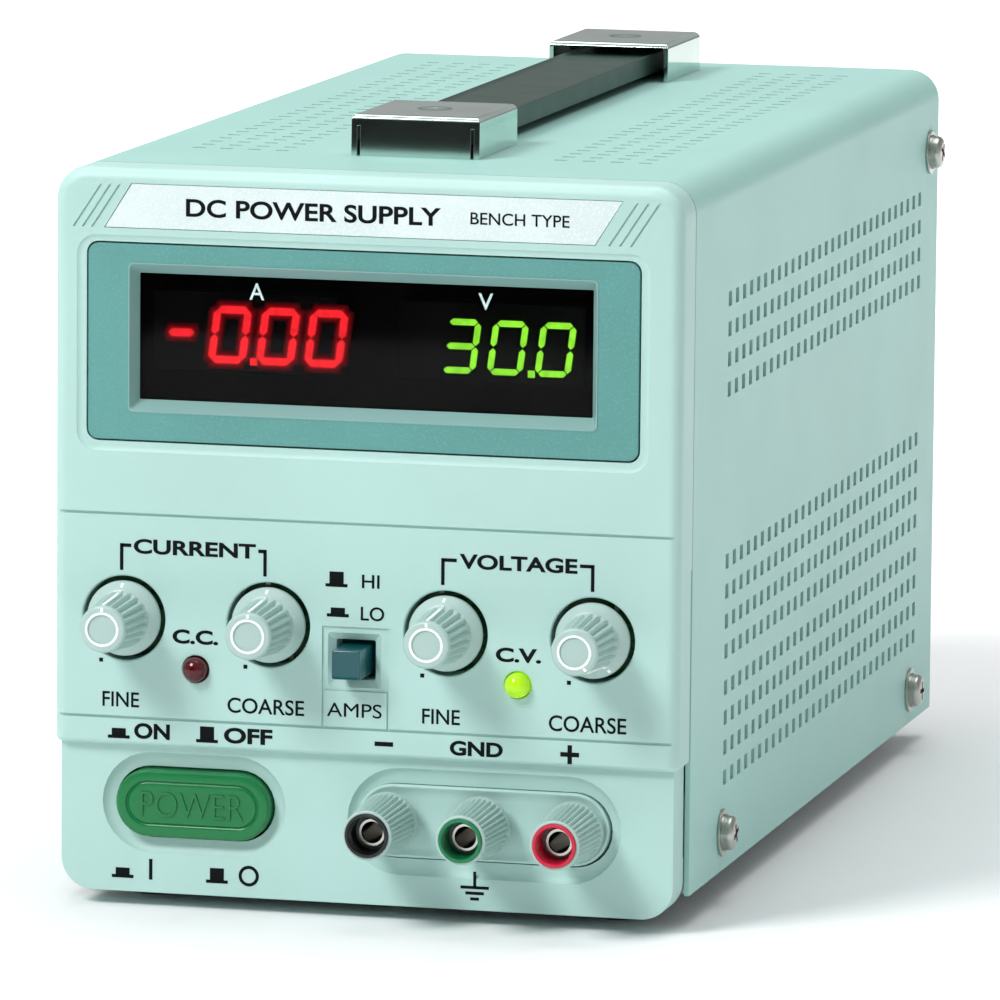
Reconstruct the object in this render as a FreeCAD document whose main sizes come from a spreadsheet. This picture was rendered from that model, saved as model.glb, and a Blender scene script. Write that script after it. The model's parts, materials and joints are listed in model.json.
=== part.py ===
"""Bench power supply: single output, strap handle, three binding posts.

Frame: millimetres, +Z up, front panel facing -Y. The origin is at the bottom centre of the
whole object, on the surface that the feet stand on.
"""
import FreeCAD, Part
import os
import re
import Sketcher
from FreeCAD import Rotation, Vector

# Driving dimensions. Heights named "..._rise" are measured up from the bezel's bottom edge,
# and places named "..._x" from the middle of the front.
DIMENSIONS = {
    # whole case
    "body_width": 128.0,
    "body_height": 145.6,
    "body_depth": 249.0,
    "front_reach": 16.0,
    "sink_depth": 20.0,
    "foot_height": 3.0,
    "corner_radius": 6.5,
    "fit_gap": 0.3,
    "slip_gap": 0.05,
    # bezel
    "bezel_depth": 10.8,
    "bezel_wall": 2.5,
    "face_wall": 3.5,
    "front_round": 2.6,
    "lower_rise": 30.0,
    "lower_recess": 2.0,
    "lower_inset": 1.1,
    "groove_low_rise": 35.3,
    "groove_high_rise": 76.3,
    "groove_width": 0.6,
    "groove_depth": 0.5,
    # display
    "display_x": -0.9,
    "surround_width": 112.4,
    "surround_height": 39.2,
    "surround_rise": 91.4,
    "surround_depth": 3.0,
    "surround_lip": 5.0,
    "surround_seat": 0.4,
    "opening_width": 92.6,
    "opening_height": 25.3,
    "opening_rise": 99.3,
    "window_border": 3.0,
    "window_thickness": 2.0,
    "digits_width": 38.0,
    "digits_height": 16.0,
    "digits_depth": 7.0,
    "digits_rise": 105.0,
    "digits_spread": 50.5,
    "board_thickness": 1.6,
    "board_inset": 4.0,
    # badge
    "badge_width": 99.8,
    "badge_height": 8.8,
    "badge_rise": 133.8,
    "badge_lean": 5.6,
    "badge_thickness": 0.6,
    # knobs
    "knob_x": -1.4,
    "knob_outer": 48.0,
    "knob_inner": 18.15,
    "knob_rise": 55.6,
    "knob_hole_radius": 8.5,
    "knob_skirt_radius": 7.8,
    "knob_skirt_depth": 2.4,
    "knob_body_radius": 5.6,
    "knob_face_radius": 4.5,
    "knob_length": 15.5,
    "knob_wall": 3.0,
    "knob_skirt_back": 0.8,
    "knob_skirt_edge": 0.4,
    "knob_flute": 0.5,
    "shaft_radius": 3.0,
    "control_gap": 6.0,
    "control_margin": 10.0,
    "pot_size": 17.0,
    "pot_depth": 12.0,
    # indicator lamps
    "lamp_radius": 2.5,
    "lamp_rise": 46.0,
    "lamp_left_x": -34.5,
    "lamp_right_x": 31.5,
    "lamp_length": 8.0,
    "lamp_proud": 0.8,
    # range switch
    "range_x": -1.9,
    "range_rise": 49.3,
    "range_button_size": 6.0,
    "range_button_reach": 6.5,
    "range_travel": 2.5,
    "range_body_size": 9.0,
    "range_body_depth": 12.0,
    # power switch
    "power_x": -35.3,
    "power_rise": 18.3,
    "power_width": 32.0,
    "power_height": 13.6,
    "power_reach": 1.5,
    "power_thickness": 8.0,
    "power_round": 1.2,
    "rod_radius": 2.0,
    "rod_length": 24.0,
    "switch_width": 14.0,
    "switch_height": 22.0,
    "switch_depth": 32.0,
    # binding posts
    "post_x": 24.0,
    "post_pitch": 19.0,
    "post_rise": 17.1,
    "plate_width": 51.6,
    "plate_height": 14.8,
    "plate_recess": 1.2,
    "plate_thickness": 2.0,
    "socket_radius": 2.0,
    "socket_depth": 19.0,
    "stem_tail": 8.0,
    "stem_radius": 2.9,
    "stem_setback": 4.7,
    "stem_flange_radius": 4.6,
    "stem_flange_depth": 1.6,
    "cap_front_radius": 4.9,
    "cap_base_radius": 5.9,
    "cap_rib": 0.6,
    "cap_rib_depth": 0.02,
    "collar_radius": 4.4,
    "collar_wall": 0.8,
    "collar_length": 6.0,
    "collar_proud": 0.6,
    "washer_radius": 5.0,
    "washer_thickness": 0.8,
    # cover and chassis
    "cover_gauge": 1.0,
    "cover_rise": 3.4,
    "seam_gap": 0.5,
    "chassis_gauge": 1.5,
    "chassis_flange": 20.0,
    "chassis_setback": 2.0,
    "panel_gauge": 1.5,
    "panel_setback": 1.0,
    "slot_width": 2.9,
    "slot_height": 3.0,
    "slot_pitch": 6.46,
    "slot_row_pitch": 6.08,
    "slot_first": 42.3,
    "slot_low_rise": 22.2,
    "slot_mid_rise": 47.85,
    "slot_high_rise": 100.85,
    "vent_length": 2.6,
    "vent_width": 1.4,
    "vent_x": 28.9,
    "vent_pitch": 5.8,
    # side screws
    "screw_radius": 3.5,
    "screw_head": 2.2,
    "screw_washer_radius": 4.8,
    "screw_washer": 0.8,
    "screw_front": 40.5,
    "screw_back": 226.0,
    "screw_low_rise": 11.2,
    "screw_high": 240.0,
    "screw_high_rise": 128.5,
    # handle
    "cap_width": 26.6,
    "cap_length": 31.0,
    "cap_height": 8.4,
    "cap_gauge": 1.0,
    "cap_front": 37.5,
    "cap_back": 234.0,
    "strap_width": 19.0,
    "strap_thickness": 4.6,
    "strap_lift": 1.6,
    "handle_screw_radius": 3.6,
    # feet
    "foot_radius": 7.0,
    "foot_inset_x": 16.0,
    "foot_front": 22.0,
    "foot_back": 225.0,
    "foot_screw_radius": 1.6,
    "foot_well_radius": 3.2,
    "foot_well_depth": 1.5,
    "foot_screw_end": 1.0,
    # rear
    "sink_width": 112.0,
    "sink_height": 78.0,
    "sink_base": 5.0,
    "sink_rise": 58.0,
    "fin_thickness": 2.0,
        "inlet_x": 30.0,
    "inlet_rise": 28.0,
    "inlet_width": 27.0,
    "inlet_height": 33.0,
    "inlet_flange": 3.0,
    "inlet_depth": 22.0,
    "inlet_rim": 2.0,
    "inlet_wall": 3.0,
    "inlet_shelf": 2.5,
    "pin_width": 2.0,
    "pin_height": 4.0,
    "pin_rise": 9.0,
    "pin_spread": 7.0,
    "pin_setback": 4.0,
    "cavity_width": 24.0,
    "cavity_height": 16.5,
    "cavity_depth": 17.0,
    "drawer_width": 22.0,
    "drawer_height": 7.0,
    "drawer_depth": 18.0,
    "drawer_pull": 2.0,
    "selector_x": -30.0,
    "selector_pitch": 26.0,
    "selector_rise": 28.0,
    "selector_width": 14.0,
    "selector_height": 26.0,
    "selector_depth": 10.0,
    "slider_width": 6.0,
    "slider_height": 6.0,
    "slider_travel": 5.0,
    "track_depth": 4.0,
    "slider_proud": 0.5,
    # inside
    "core_width": 82.0,
    "core_depth": 66.0,
    "core_height": 68.0,
    "core_leg": 16.0,
    "core_front": 96.0,
    "coil_gap": 0.5,
    "coil_overhang": 12.0,
    "main_board_depth": 44.0,
    "main_board_width": 100.0,
    "main_board_rise": 16.0,
    "main_board_front": 178.0,
    "spacer_radius": 3.0,
    "spacer_inset": 6.0,
    "capacitor_radius": 12.5,
    "capacitor_height": 40.0,
    "transistor_radius": 10.0,
    "transistor_height": 9.0,
    "transistor_pitch": 40.0,
}

# Places worked out from the driving dimensions.
DERIVED = {
    "overall_depth": "front_reach + body_depth + sink_depth",
    "face": "front_reach - overall_depth / 2",
    "lower_face": "face + lower_recess",
    "back": "face + body_depth",
    "seam": "face + bezel_depth + seam_gap",
    "base": "foot_height",
    "top": "base + body_height",
    "half": "body_width / 2",
    "inner_half": "half - cover_gauge - fit_gap",
    "chassis_floor": "base + cover_rise + chassis_gauge",
    "panel_back": "back - panel_setback",
    "panel_front": "panel_back - panel_gauge",
    "window_face": "face + surround_seat + surround_depth",
    "window_back": "window_face + window_thickness",
    "board_face": "window_back + digits_depth + fit_gap",
    "control_face": "face + face_wall + control_gap",
    "plate_face": "lower_face + plate_recess",
    "plate_back": "plate_face + plate_thickness",
    "post_tip": "face - front_reach",
    "stem_tip": "post_tip + stem_setback",
    "washer_face": "plate_face - stem_flange_depth - slip_gap - washer_thickness",
    "handle_base": "top",
    "inlet_face": "panel_back + inlet_flange",
}

SLOT_COLUMNS = 30
SLOT_ROWS = 4

DOC = FreeCAD.newDocument("bench_power_supply")
SHEET = DOC.addObject("Spreadsheet::Sheet", "Sheet")
NODES = []


def fill_sheet():
    """Write each driving dimension in a row of its own, with its name as the alias."""
    for row, (name, number) in enumerate(DIMENSIONS.items(), start=1):
        SHEET.set("A%d" % row, name)
        SHEET.set("B%d" % row, str(number))
        SHEET.setAlias("B%d" % row, name)
    DOC.recompute()


def bind(text):
    """Turn a formula in dimension names into an expression on the sheet."""
    def swap(match):
        word = match.group(0)
        if word in DERIVED:
            return "(" + bind(DERIVED[word]) + ")"
        return "Sheet." + word if word in DIMENSIONS else word
    return re.sub(r"[a-z][a-z_]*", swap, str(text))


def value(text):
    """The number that a formula comes to now."""
    result = SHEET.evalExpression(bind(text))
    return float(getattr(result, "Value", result))


def plus(*terms):
    """Join formulas into one sum."""
    return " + ".join("(%s)" % term for term in terms)


def keep(item, name):
    """Mark a document object as a finished sub-part."""
    item.Label = name
    NODES.append(item)
    return item


def place(item, x, y, z):
    """Bind an object's position to three formulas."""
    for axis, text in zip("xyz", (x, y, z)):
        item.setExpression("Placement.Base." + axis, bind(text))
    return item


# ---------------------------------------------------------------- PartDesign helpers

def new_body(name):
    return DOC.addObject("PartDesign::Body", name + "_body")


def new_sketch(body, role, offset="0"):
    """A sketch on one of the body's own origin planes, moved along the plane's normal."""
    sketch = body.newObject("Sketcher::SketchObject", body.Name + "_sketch")
    plane = [item for item in body.Origin.OriginFeatures if item.Role == role][0]
    sketch.AttachmentSupport = [(plane, "")]
    sketch.MapMode = "FlatFace"
    sketch.setExpression("AttachmentOffset.Base.z", bind(offset))
    return sketch


def pin_point(sketch, shape, corner, x, y):
    """Tie one point of a sketch to formulas, measured from the sketch's origin."""
    for kind, axis, text in (("DistanceX", -2, x), ("DistanceY", -1, y)):
        if text == "0":
            sketch.addConstraint(Sketcher.Constraint("PointOnObject", shape, corner, axis))
            continue
        rule = Sketcher.Constraint(kind, -1, 1, shape, corner, value(text))
        sketch.setExpression("Constraints[%d]" % sketch.addConstraint(rule), bind(text))


def polygon(sketch, points):
    """A closed outline of straight lines through points given as formulas."""
    spots = [Vector(value(x), value(y), 0) for x, y in points]
    first = sketch.GeometryCount
    count = len(points)
    for index in range(count):
        line = Part.LineSegment(spots[index], spots[(index + 1) % count])
        sketch.addGeometry(line)
    for index in range(count):
        following = first + (index + 1) % count
        sketch.addConstraint(Sketcher.Constraint("Coincident", first + index, 2, following, 1))
    for index, (x, y) in enumerate(points):
        pin_point(sketch, first + index, 1, x, y)


def rectangle(sketch, x, y, width, height):
    """A rectangle from its left, bottom, width and height."""
    right = plus(x, width)
    upper = plus(y, height)
    polygon(sketch, [(x, y), (right, y), (right, upper), (x, upper)])


def circle(sketch, x, y, radius):
    spot = Vector(value(x), value(y), 0)
    shape = sketch.addGeometry(Part.Circle(spot, Vector(0, 0, 1), value(radius)))
    pin_point(sketch, shape, 3, x, y)
    rule = sketch.addConstraint(Sketcher.Constraint("Radius", shape, value(radius)))
    sketch.setExpression("Constraints[%d]" % rule, bind(radius))


def stadium(sketch, x, y, width, height):
    """A slot outline with round ends, centred on x, y."""
    reach = "((%s) - (%s)) / 2" % (width, height)
    radius = "(%s) / 2" % height
    left, right = "(%s) - %s" % (x, reach), "(%s) + %s" % (x, reach)
    rounds = []
    for side, start in ((left, 1.5707963267948966), (right, -1.5707963267948966)):
        ring = Part.Circle(Vector(value(side), value(y), 0), Vector(0, 0, 1), value(radius))
        arc = sketch.addGeometry(Part.ArcOfCircle(ring, start, start + 3.141592653589793))
        rule = sketch.addConstraint(Sketcher.Constraint("Radius", arc, value(radius)))
        sketch.setExpression("Constraints[%d]" % rule, bind(radius))
        pin_point(sketch, arc, 3, side, y)
        rounds.append((arc, Vector(value(side), value(y), 0)))
    lift = Vector(0, value(radius), 0)
    (left_arc, left_spot), (right_arc, right_spot) = rounds
    upper = sketch.addGeometry(Part.LineSegment(right_spot + lift, left_spot + lift))
    lower = sketch.addGeometry(Part.LineSegment(left_spot - lift, right_spot - lift))
    for one, one_end, two, two_end in ((upper, 2, left_arc, 1), (left_arc, 2, lower, 1),
                                       (lower, 2, right_arc, 1), (right_arc, 2, upper, 1)):
        sketch.addConstraint(Sketcher.Constraint("Tangent", one, one_end, two, two_end))


def feature(body, kind, sketch, length, flip=False):
    """A pad or pocket of a sketch by a bound length."""
    item = body.newObject("PartDesign::" + kind, body.Name + "_" + kind.lower())
    item.Profile = sketch
    item.setExpression("Length", bind(length))
    item.Reversed = flip
    body.Tip = item
    DOC.recompute()
    return item


def pad(body, sketch, length, flip=False):
    return feature(body, "Pad", sketch, length, flip)


def pocket(body, sketch, length, flip=False):
    """Cut a sketch out of a body, and make sure that the cut removed something."""
    before = body.Shape.Volume
    item = feature(body, "Pocket", sketch, length, flip)
    if body.Shape.Volume > before - 1e-6:
        raise RuntimeError(item.Name + " cuts nothing")
    return item


def revolve(body, sketch):
    """Turn a sketch in the XY plane round the body's own Y axis."""
    item = body.newObject("PartDesign::Revolution", body.Name + "_turned")
    item.Profile = sketch
    item.ReferenceAxis = (sketch, ["V_Axis"])
    item.Angle = 360
    body.Tip = item
    DOC.recompute()
    return item


def edges_where(body, test):
    """Names of the edges of a body's tip that pass a test."""
    names = []
    for number, edge in enumerate(body.Shape.Edges, start=1):
        if test(edge):
            names.append("Edge%d" % number)
    return names


def round_edges(body, test, radius):
    names = edges_where(body, test)
    base = body.Tip
    item = body.newObject("PartDesign::Fillet", body.Name + "_round")
    item.Base = (base, names)
    item.setExpression("Radius", bind(radius))
    body.Tip = item
    DOC.recompute()
    return item


def along(edge, axis):
    """True for a straight edge that runs along an axis."""
    if not isinstance(edge.Curve, Part.Line):
        return False
    return abs(abs(edge.Curve.Direction.dot(axis)) - 1) < 1e-6


AXIS_Y = Vector(0, 1, 0)
AXIS_Z = Vector(0, 0, 1)
TURNED_TO_Y = Rotation(Vector(1, 0, 0), -90)
TURNED_TO_X = Rotation(Vector(0, 1, 0), 90)


def at_level(edge, axis, level):
    """True for an edge whose every vertex is at a level along an axis."""
    return all(abs(vertex.Point.dot(axis) - level) < 1e-4 for vertex in edge.Vertexes)


# ---------------------------------------------------------------- Part helpers

def block(name, x, y, z, width, depth, height):
    """A box from its lowest corner, all sizes bound."""
    item = DOC.addObject("Part::Box", name + "_box")
    for field, text in (("Length", width), ("Width", depth), ("Height", height)):
        item.setExpression(field, bind(text))
    return place(item, x, y, z)


def rod(name, x, y, z, radius, length, turn=None):
    """A cylinder that starts at x, y, z and runs up, or along the turn given."""
    item = DOC.addObject("Part::Cylinder", name + "_rod")
    item.setExpression("Radius", bind(radius))
    item.setExpression("Height", bind(length))
    if turn is not None:
        item.Placement.Rotation = turn
    return place(item, x, y, z)


def join(name, items):
    item = DOC.addObject("Part::MultiFuse", name + "_join")
    item.Shapes = items
    return item


def cut(name, base, tools):
    item = DOC.addObject("Part::Cut", name + "_cut")
    item.Base = base
    item.Tool = tools[0] if len(tools) == 1 else join(name + "_tools", tools)
    return item


def group(name, items):
    """Separate identical solids that share one node."""
    item = DOC.addObject("Part::Compound", name + "_group")
    item.Links = items
    return item


# ---------------------------------------------------------------- front

KNOBS = {
    "current_fine": "knob_x - knob_outer",
    "current_coarse": "knob_x - knob_inner",
    "voltage_fine": "knob_x + knob_inner",
    "voltage_coarse": "knob_x + knob_outer",
}
POSTS = {
    "negative": "post_x - post_pitch",
    "ground": "post_x",
    "positive": "post_x + post_pitch",
}


def make_bezel():
    """Moulded front: a shallow tray, open at the back, with every opening of the panel."""
    body = new_body("front_bezel")
    front = new_sketch(body, "XZ_Plane", "-(face)")
    rectangle(front, "-(half)", "base", "body_width", "body_height")
    pad(body, front, "bezel_depth", True)
    round_edges(body, lambda edge: along(edge, AXIS_Y), "corner_radius")
    level = value("face")
    round_edges(body, lambda edge: at_level(edge, AXIS_Y, level), "front_round")
    hollow = new_sketch(body, "XZ_Plane", "-(face + face_wall)")
    rectangle(hollow, "-(half) + bezel_wall + lower_inset", "base + bezel_wall",
              "body_width - 2 * (bezel_wall + lower_inset)", "body_height - 2 * bezel_wall")
    pocket(body, hollow, "bezel_depth")
    lower = new_sketch(body, "XZ_Plane", "-(face)")
    rectangle(lower, "-(half)", "base", "body_width", "lower_rise")
    pocket(body, lower, "lower_recess")
    for left in ("-(half)", "half - lower_inset"):
        flank = new_sketch(body, "XZ_Plane", "-(face)")
        rectangle(flank, left, "base", "lower_inset", "lower_rise")
        pocket(body, flank, "bezel_depth")
    for rise in ("groove_low_rise", "groove_high_rise"):
        groove = new_sketch(body, "XZ_Plane", "-(face)")
        rectangle(groove, "-(half)", plus("base", rise), "body_width", "groove_width")
        pocket(body, groove, "groove_depth")
    seat = new_sketch(body, "XZ_Plane", "-(face)")
    rectangle(seat, "display_x - surround_width / 2 - slip_gap",
              "base + surround_rise - slip_gap", "surround_width + 2 * slip_gap",
              "surround_height + 2 * slip_gap")
    pocket(body, seat, "face_wall")
    badge = new_sketch(body, "XZ_Plane", "-(face)")
    polygon(badge, badge_outline("slip_gap"))
    pocket(body, badge, "badge_thickness")
    holes = new_sketch(body, "XZ_Plane", "-(face)")
    for x in KNOBS.values():
        circle(holes, x, "base + knob_rise", "knob_hole_radius")
    for x in ("lamp_left_x", "lamp_right_x"):
        circle(holes, x, "base + lamp_rise", "lamp_radius + slip_gap")
    side = "range_button_size + 2 * fit_gap"
    rectangle(holes, "range_x - (%s) / 2" % side, "base + range_rise - (%s) / 2" % side,
              side, side)
    stadium(holes, "power_x", "base + power_rise", "power_width + 2 * fit_gap",
            "power_height + 2 * fit_gap")
    stadium(holes, "post_x", "base + post_rise", "plate_width + 2 * slip_gap",
            "plate_height + 2 * slip_gap")
    pocket(body, holes, "bezel_depth")
    return keep(body, "front_bezel")


def badge_outline(margin):
    """Leaning outline of the name strip, grown by a margin."""
    left = "display_x - badge_width / 2 - badge_lean / 2 - (%s)" % margin
    right = "display_x + badge_width / 2 - badge_lean / 2 + (%s)" % margin
    low = "base + badge_rise - (%s)" % margin
    high = "base + badge_rise + badge_height + (%s)" % margin
    return [(left, low), (right, low), (plus(right, "badge_lean"), high),
            (plus(left, "badge_lean"), high)]


def make_badge():
    body = new_body("badge_plate")
    sketch = new_sketch(body, "XZ_Plane", "-(face)")
    polygon(sketch, badge_outline("0 * slip_gap"))
    pad(body, sketch, "badge_thickness", True)
    keep(body, "badge_plate")


def make_surround():
    """Display frame: a flanged ring with sloping sides that lead in to the window."""
    body = new_body("display_surround")
    outer = new_sketch(body, "XZ_Plane", "-(face + surround_seat)")
    rectangle(outer, "display_x - surround_width / 2", "base + surround_rise",
              "surround_width", "surround_height")
    rectangle(outer, "display_x - opening_width / 2", "base + opening_rise",
              "opening_width", "opening_height")
    pad(body, outer, "surround_depth", True)
    level = value("face + surround_seat")
    inside = value("surround_width / 2 - surround_lip")

    def inner_rim(edge):
        reach = max(abs(vertex.Point.x - value("display_x")) for vertex in edge.Vertexes)
        return at_level(edge, AXIS_Y, level) and reach < inside

    rim = edges_where(body, inner_rim)
    base = body.Tip
    bevel = body.newObject("PartDesign::Chamfer", "display_surround_bevel")
    bevel.Base = (base, rim)
    bevel.Size = 1.5
    bevel.setExpression("Size", bind("surround_depth / 2"))
    body.Tip = bevel
    keep(body, "display_surround")


def make_display():
    """Tinted window with two digit modules on a board behind it."""
    window = block("display_window", "display_x - opening_width / 2 - window_border",
                   "window_face", "base + opening_rise - window_border",
                   "opening_width + 2 * window_border", "window_thickness",
                   "opening_height + 2 * window_border")
    keep(window, "display_window")
    for name, sign in (("ammeter_digits", "-1"), ("voltmeter_digits", "1")):
        digits = block(name, "display_x - digits_width / 2 + %s * digits_spread / 2" % sign,
                       "board_face - digits_depth", "base + digits_rise",
                       "digits_width", "digits_depth", "digits_height")
        keep(digits, name)
    board = block("display_board", "display_x - surround_width / 2 + board_inset", "board_face",
                  "base + surround_rise", "surround_width - 2 * board_inset", "board_thickness",
                  "surround_height")
    keep(board, "display_board")


def make_knob(name, x):
    """Turned knob with a skirt in the panel's hole and a fluted, tapering body."""
    body = new_body(name)
    tip = "-knob_length"
    profile = new_sketch(body, "XY_Plane")
    polygon(profile, [
        ("shaft_radius", "knob_skirt_back"),
        ("knob_skirt_radius", "knob_skirt_back"),
        ("knob_skirt_radius", "-knob_skirt_edge"),
        ("knob_body_radius", "-knob_skirt_depth"),
        ("knob_face_radius", tip),
        ("0", tip),
        ("0", "-knob_length + knob_wall"),
        ("shaft_radius", "-knob_length + knob_wall"),
    ])
    revolve(body, profile)
    flute = new_sketch(body, "XZ_Plane", "knob_length")
    circle(flute, "knob_body_radius + knob_flute", "0", "2 * knob_flute")
    groove = pocket(body, flute, "knob_length - knob_skirt_depth - knob_flute")
    ring = body.newObject("PartDesign::PolarPattern", body.Name + "_flutes")
    ring.Originals = [groove]
    ring.Axis = (flute, ["N_Axis"])
    ring.Angle = 360
    ring.Occurrences = 18
    body.Tip = ring
    place(body, x, "face", "base + knob_rise")
    keep(body, name)


def make_knobs():
    """Four knobs on shafts, with the fixed control bodies behind them on one board."""
    pots = []
    height = "base + knob_rise"
    for name, x in KNOBS.items():
        make_knob(name + "_knob", x)
        shaft = rod(name + "_shaft", x, "face - knob_length + knob_wall", height, "shaft_radius",
                    "control_face - face + knob_length - knob_wall - slip_gap", TURNED_TO_Y)
        keep(shaft, name + "_shaft")
        case = block(name + "_pot", "(%s) - pot_size / 2" % x, "control_face + board_thickness",
                     "base + knob_rise - pot_size / 2", "pot_size", "pot_depth", "pot_size")
        pots.append(case)
    keep(group("potentiometers", pots), "potentiometers")
    board = block("control_board", "knob_x - knob_outer - control_margin", "control_face",
                  "base + lamp_rise - control_margin / 2", "2 * (knob_outer + control_margin)",
                  "board_thickness", "knob_rise - lamp_rise + 1.5 * control_margin")
    keep(board, "control_board")


def make_lamps():
    """Two domed indicator lamps held in the panel."""
    for name, x in (("current_lamp", "lamp_left_x"), ("voltage_lamp", "lamp_right_x")):
        body = new_body(name)
        profile = new_sketch(body, "XY_Plane")
        polygon(profile, [
            ("0", "lamp_length"),
            ("lamp_radius", "lamp_length"),
            ("lamp_radius", "-lamp_proud"),
            ("lamp_radius * 0.7", "-lamp_radius * 0.85"),
            ("0", "-lamp_radius * 1.1"),
        ])
        revolve(body, profile)
        place(body, x, "face", "base + lamp_rise")
        keep(body, name)


def make_range_switch():
    """Square latching button in front of its fixed switch body."""
    size = "range_button_size"
    left = "range_x - range_button_size / 2"
    low = "base + range_rise - range_button_size / 2"
    gap = "range_travel + fit_gap"
    length = "range_button_reach + (control_face - face) - (%s)" % gap
    button = block("range_button", left, "face - range_button_reach", low, size, length, size)
    keep(button, "range_button")
    body = block("range_switch", "range_x - range_body_size / 2",
                 "control_face + board_thickness", "base + range_rise - range_body_size / 2",
                 "range_body_size", "range_body_depth", "range_body_size")
    keep(body, "range_switch")


def make_power_switch():
    """Large pill button on a rod that works the mains switch deeper in the case."""
    body = new_body("power_button")
    outline = new_sketch(body, "XZ_Plane", "-(lower_face - power_reach)")
    stadium(outline, "power_x", "base + power_rise", "power_width", "power_height")
    pad(body, outline, "power_thickness", True)
    level = value("lower_face - power_reach")
    round_edges(body, lambda edge: at_level(edge, AXIS_Y, level), "power_round")
    keep(body, "power_button")
    start = "lower_face - power_reach + power_thickness"
    stem = rod("power_rod", "power_x", start, "base + power_rise", "rod_radius", "rod_length",
               TURNED_TO_Y)
    keep(stem, "power_rod")
    case = block("power_switch", "power_x - switch_width / 2",
                 plus(start, "rod_length", "fit_gap"), "chassis_floor",
                 "switch_width", "switch_depth", "switch_height")
    keep(case, "power_switch")


# ---------------------------------------------------------------- binding posts

def turned_piece(name, x, y, z, points):
    """A body turned about its own Y axis from (radius, place) points, then placed."""
    body = new_body(name)
    profile = new_sketch(body, "XY_Plane")
    polygon(profile, points)
    revolve(body, profile)
    place(body, x, y, z)
    return keep(body, name)


def make_stem(name, x):
    """Fixed metal post: threaded outside, with the plug socket in it, and a rear tail."""
    floor = "stem_setback + socket_depth"
    flange = "plate_face - post_tip"
    tail = "plate_back - post_tip + stem_tail"
    turned_piece(name, x, "post_tip", "base + post_rise", [
        ("socket_radius", "stem_setback"),
        ("stem_radius", "stem_setback"),
        ("stem_radius", flange + " - stem_flange_depth"),
        ("stem_flange_radius", flange + " - stem_flange_depth"),
        ("stem_flange_radius", flange),
        ("stem_radius", flange),
        ("stem_radius", tail),
        ("0", tail),
        ("0", floor),
        ("socket_radius", floor),
    ])


def make_cap(name, x):
    """Ribbed clamping cap: runs on the stem and carries the coloured collar in its mouth."""
    body = new_body(name)
    length = "washer_face - post_tip - slip_gap"
    bore = "stem_radius + slip_gap"
    mouth = "collar_radius + slip_gap"
    profile = new_sketch(body, "XY_Plane")
    polygon(profile, [
        (mouth, "collar_proud"),
        ("cap_front_radius", "collar_proud"),
        ("cap_base_radius", length),
        (bore, length),
        (bore, "collar_length + slip_gap"),
        (mouth, "collar_length + slip_gap"),
    ])
    revolve(body, profile)
    rib = new_sketch(body, "XZ_Plane", "-collar_proud - 1")
    rectangle(rib, "cap_front_radius - cap_rib_depth", "-cap_rib / 2",
              "cap_base_radius - cap_front_radius + 1", "cap_rib")
    groove = pocket(body, rib, length)
    ring = body.newObject("PartDesign::PolarPattern", body.Name + "_ribs")
    ring.Originals = [groove]
    ring.Axis = (rib, ["N_Axis"])
    ring.Angle = 360
    ring.Occurrences = 30
    body.Tip = ring
    place(body, x, "post_tip", "base + post_rise")
    keep(body, name)


def make_posts():
    """Insulating plate with three stems, and a washer, cap and collar on each."""
    body = new_body("post_plate")
    outline = new_sketch(body, "XZ_Plane", "-(plate_face)")
    stadium(outline, "post_x", "base + post_rise", "plate_width", "plate_height")
    for x in POSTS.values():
        circle(outline, x, "base + post_rise", "stem_radius + slip_gap")
    pad(body, outline, "plate_thickness", True)
    keep(body, "post_plate")
    for name, x in POSTS.items():
        make_stem(name + "_stem", x)
        turned_piece(name + "_washer", x, "washer_face", "base + post_rise", [
            ("stem_radius + slip_gap", "0"),
            ("washer_radius", "0"),
            ("washer_radius", "washer_thickness"),
            ("stem_radius + slip_gap", "washer_thickness"),
        ])
        make_cap(name + "_cap", x)
        turned_piece(name + "_collar", x, "post_tip", "base + post_rise", [
            ("collar_radius - collar_wall", "0"),
            ("collar_radius", "0"),
            ("collar_radius", "collar_length"),
            ("collar_radius - collar_wall", "collar_length"),
        ])


# ---------------------------------------------------------------- case

def vent_cutters():
    """Cutters for all the vents: three blocks on the side walls and two on the top."""
    cutters = []
    wide, tall = value("slot_width"), value("slot_height")
    long, narrow = value("vent_length"), value("vent_width")
    across = value("body_width + 2")
    first = value("face + slot_first")
    for column in range(SLOT_COLUMNS):
        depth = first + column * value("slot_pitch")
        for block_rise in ("slot_low_rise", "slot_mid_rise", "slot_high_rise"):
            for row in range(SLOT_ROWS):
                height = value(plus("base", block_rise)) + row * value("slot_row_pitch")
                corner = Vector(-across / 2, depth - wide / 2, height - tall / 2)
                cutters.append(Part.makeBox(across, wide, tall, corner))
        for side in (-1, 1):
            for row in range(SLOT_ROWS):
                middle = side * (value("vent_x") + row * value("vent_pitch"))
                corner = Vector(middle - long / 2, depth - narrow / 2, value("top") - 3)
                cutters.append(Part.makeBox(long, narrow, 6, corner))
    item = DOC.addObject("Part::Feature", "vent_cutters")
    item.Shape = Part.makeCompound(cutters)
    return item


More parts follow.
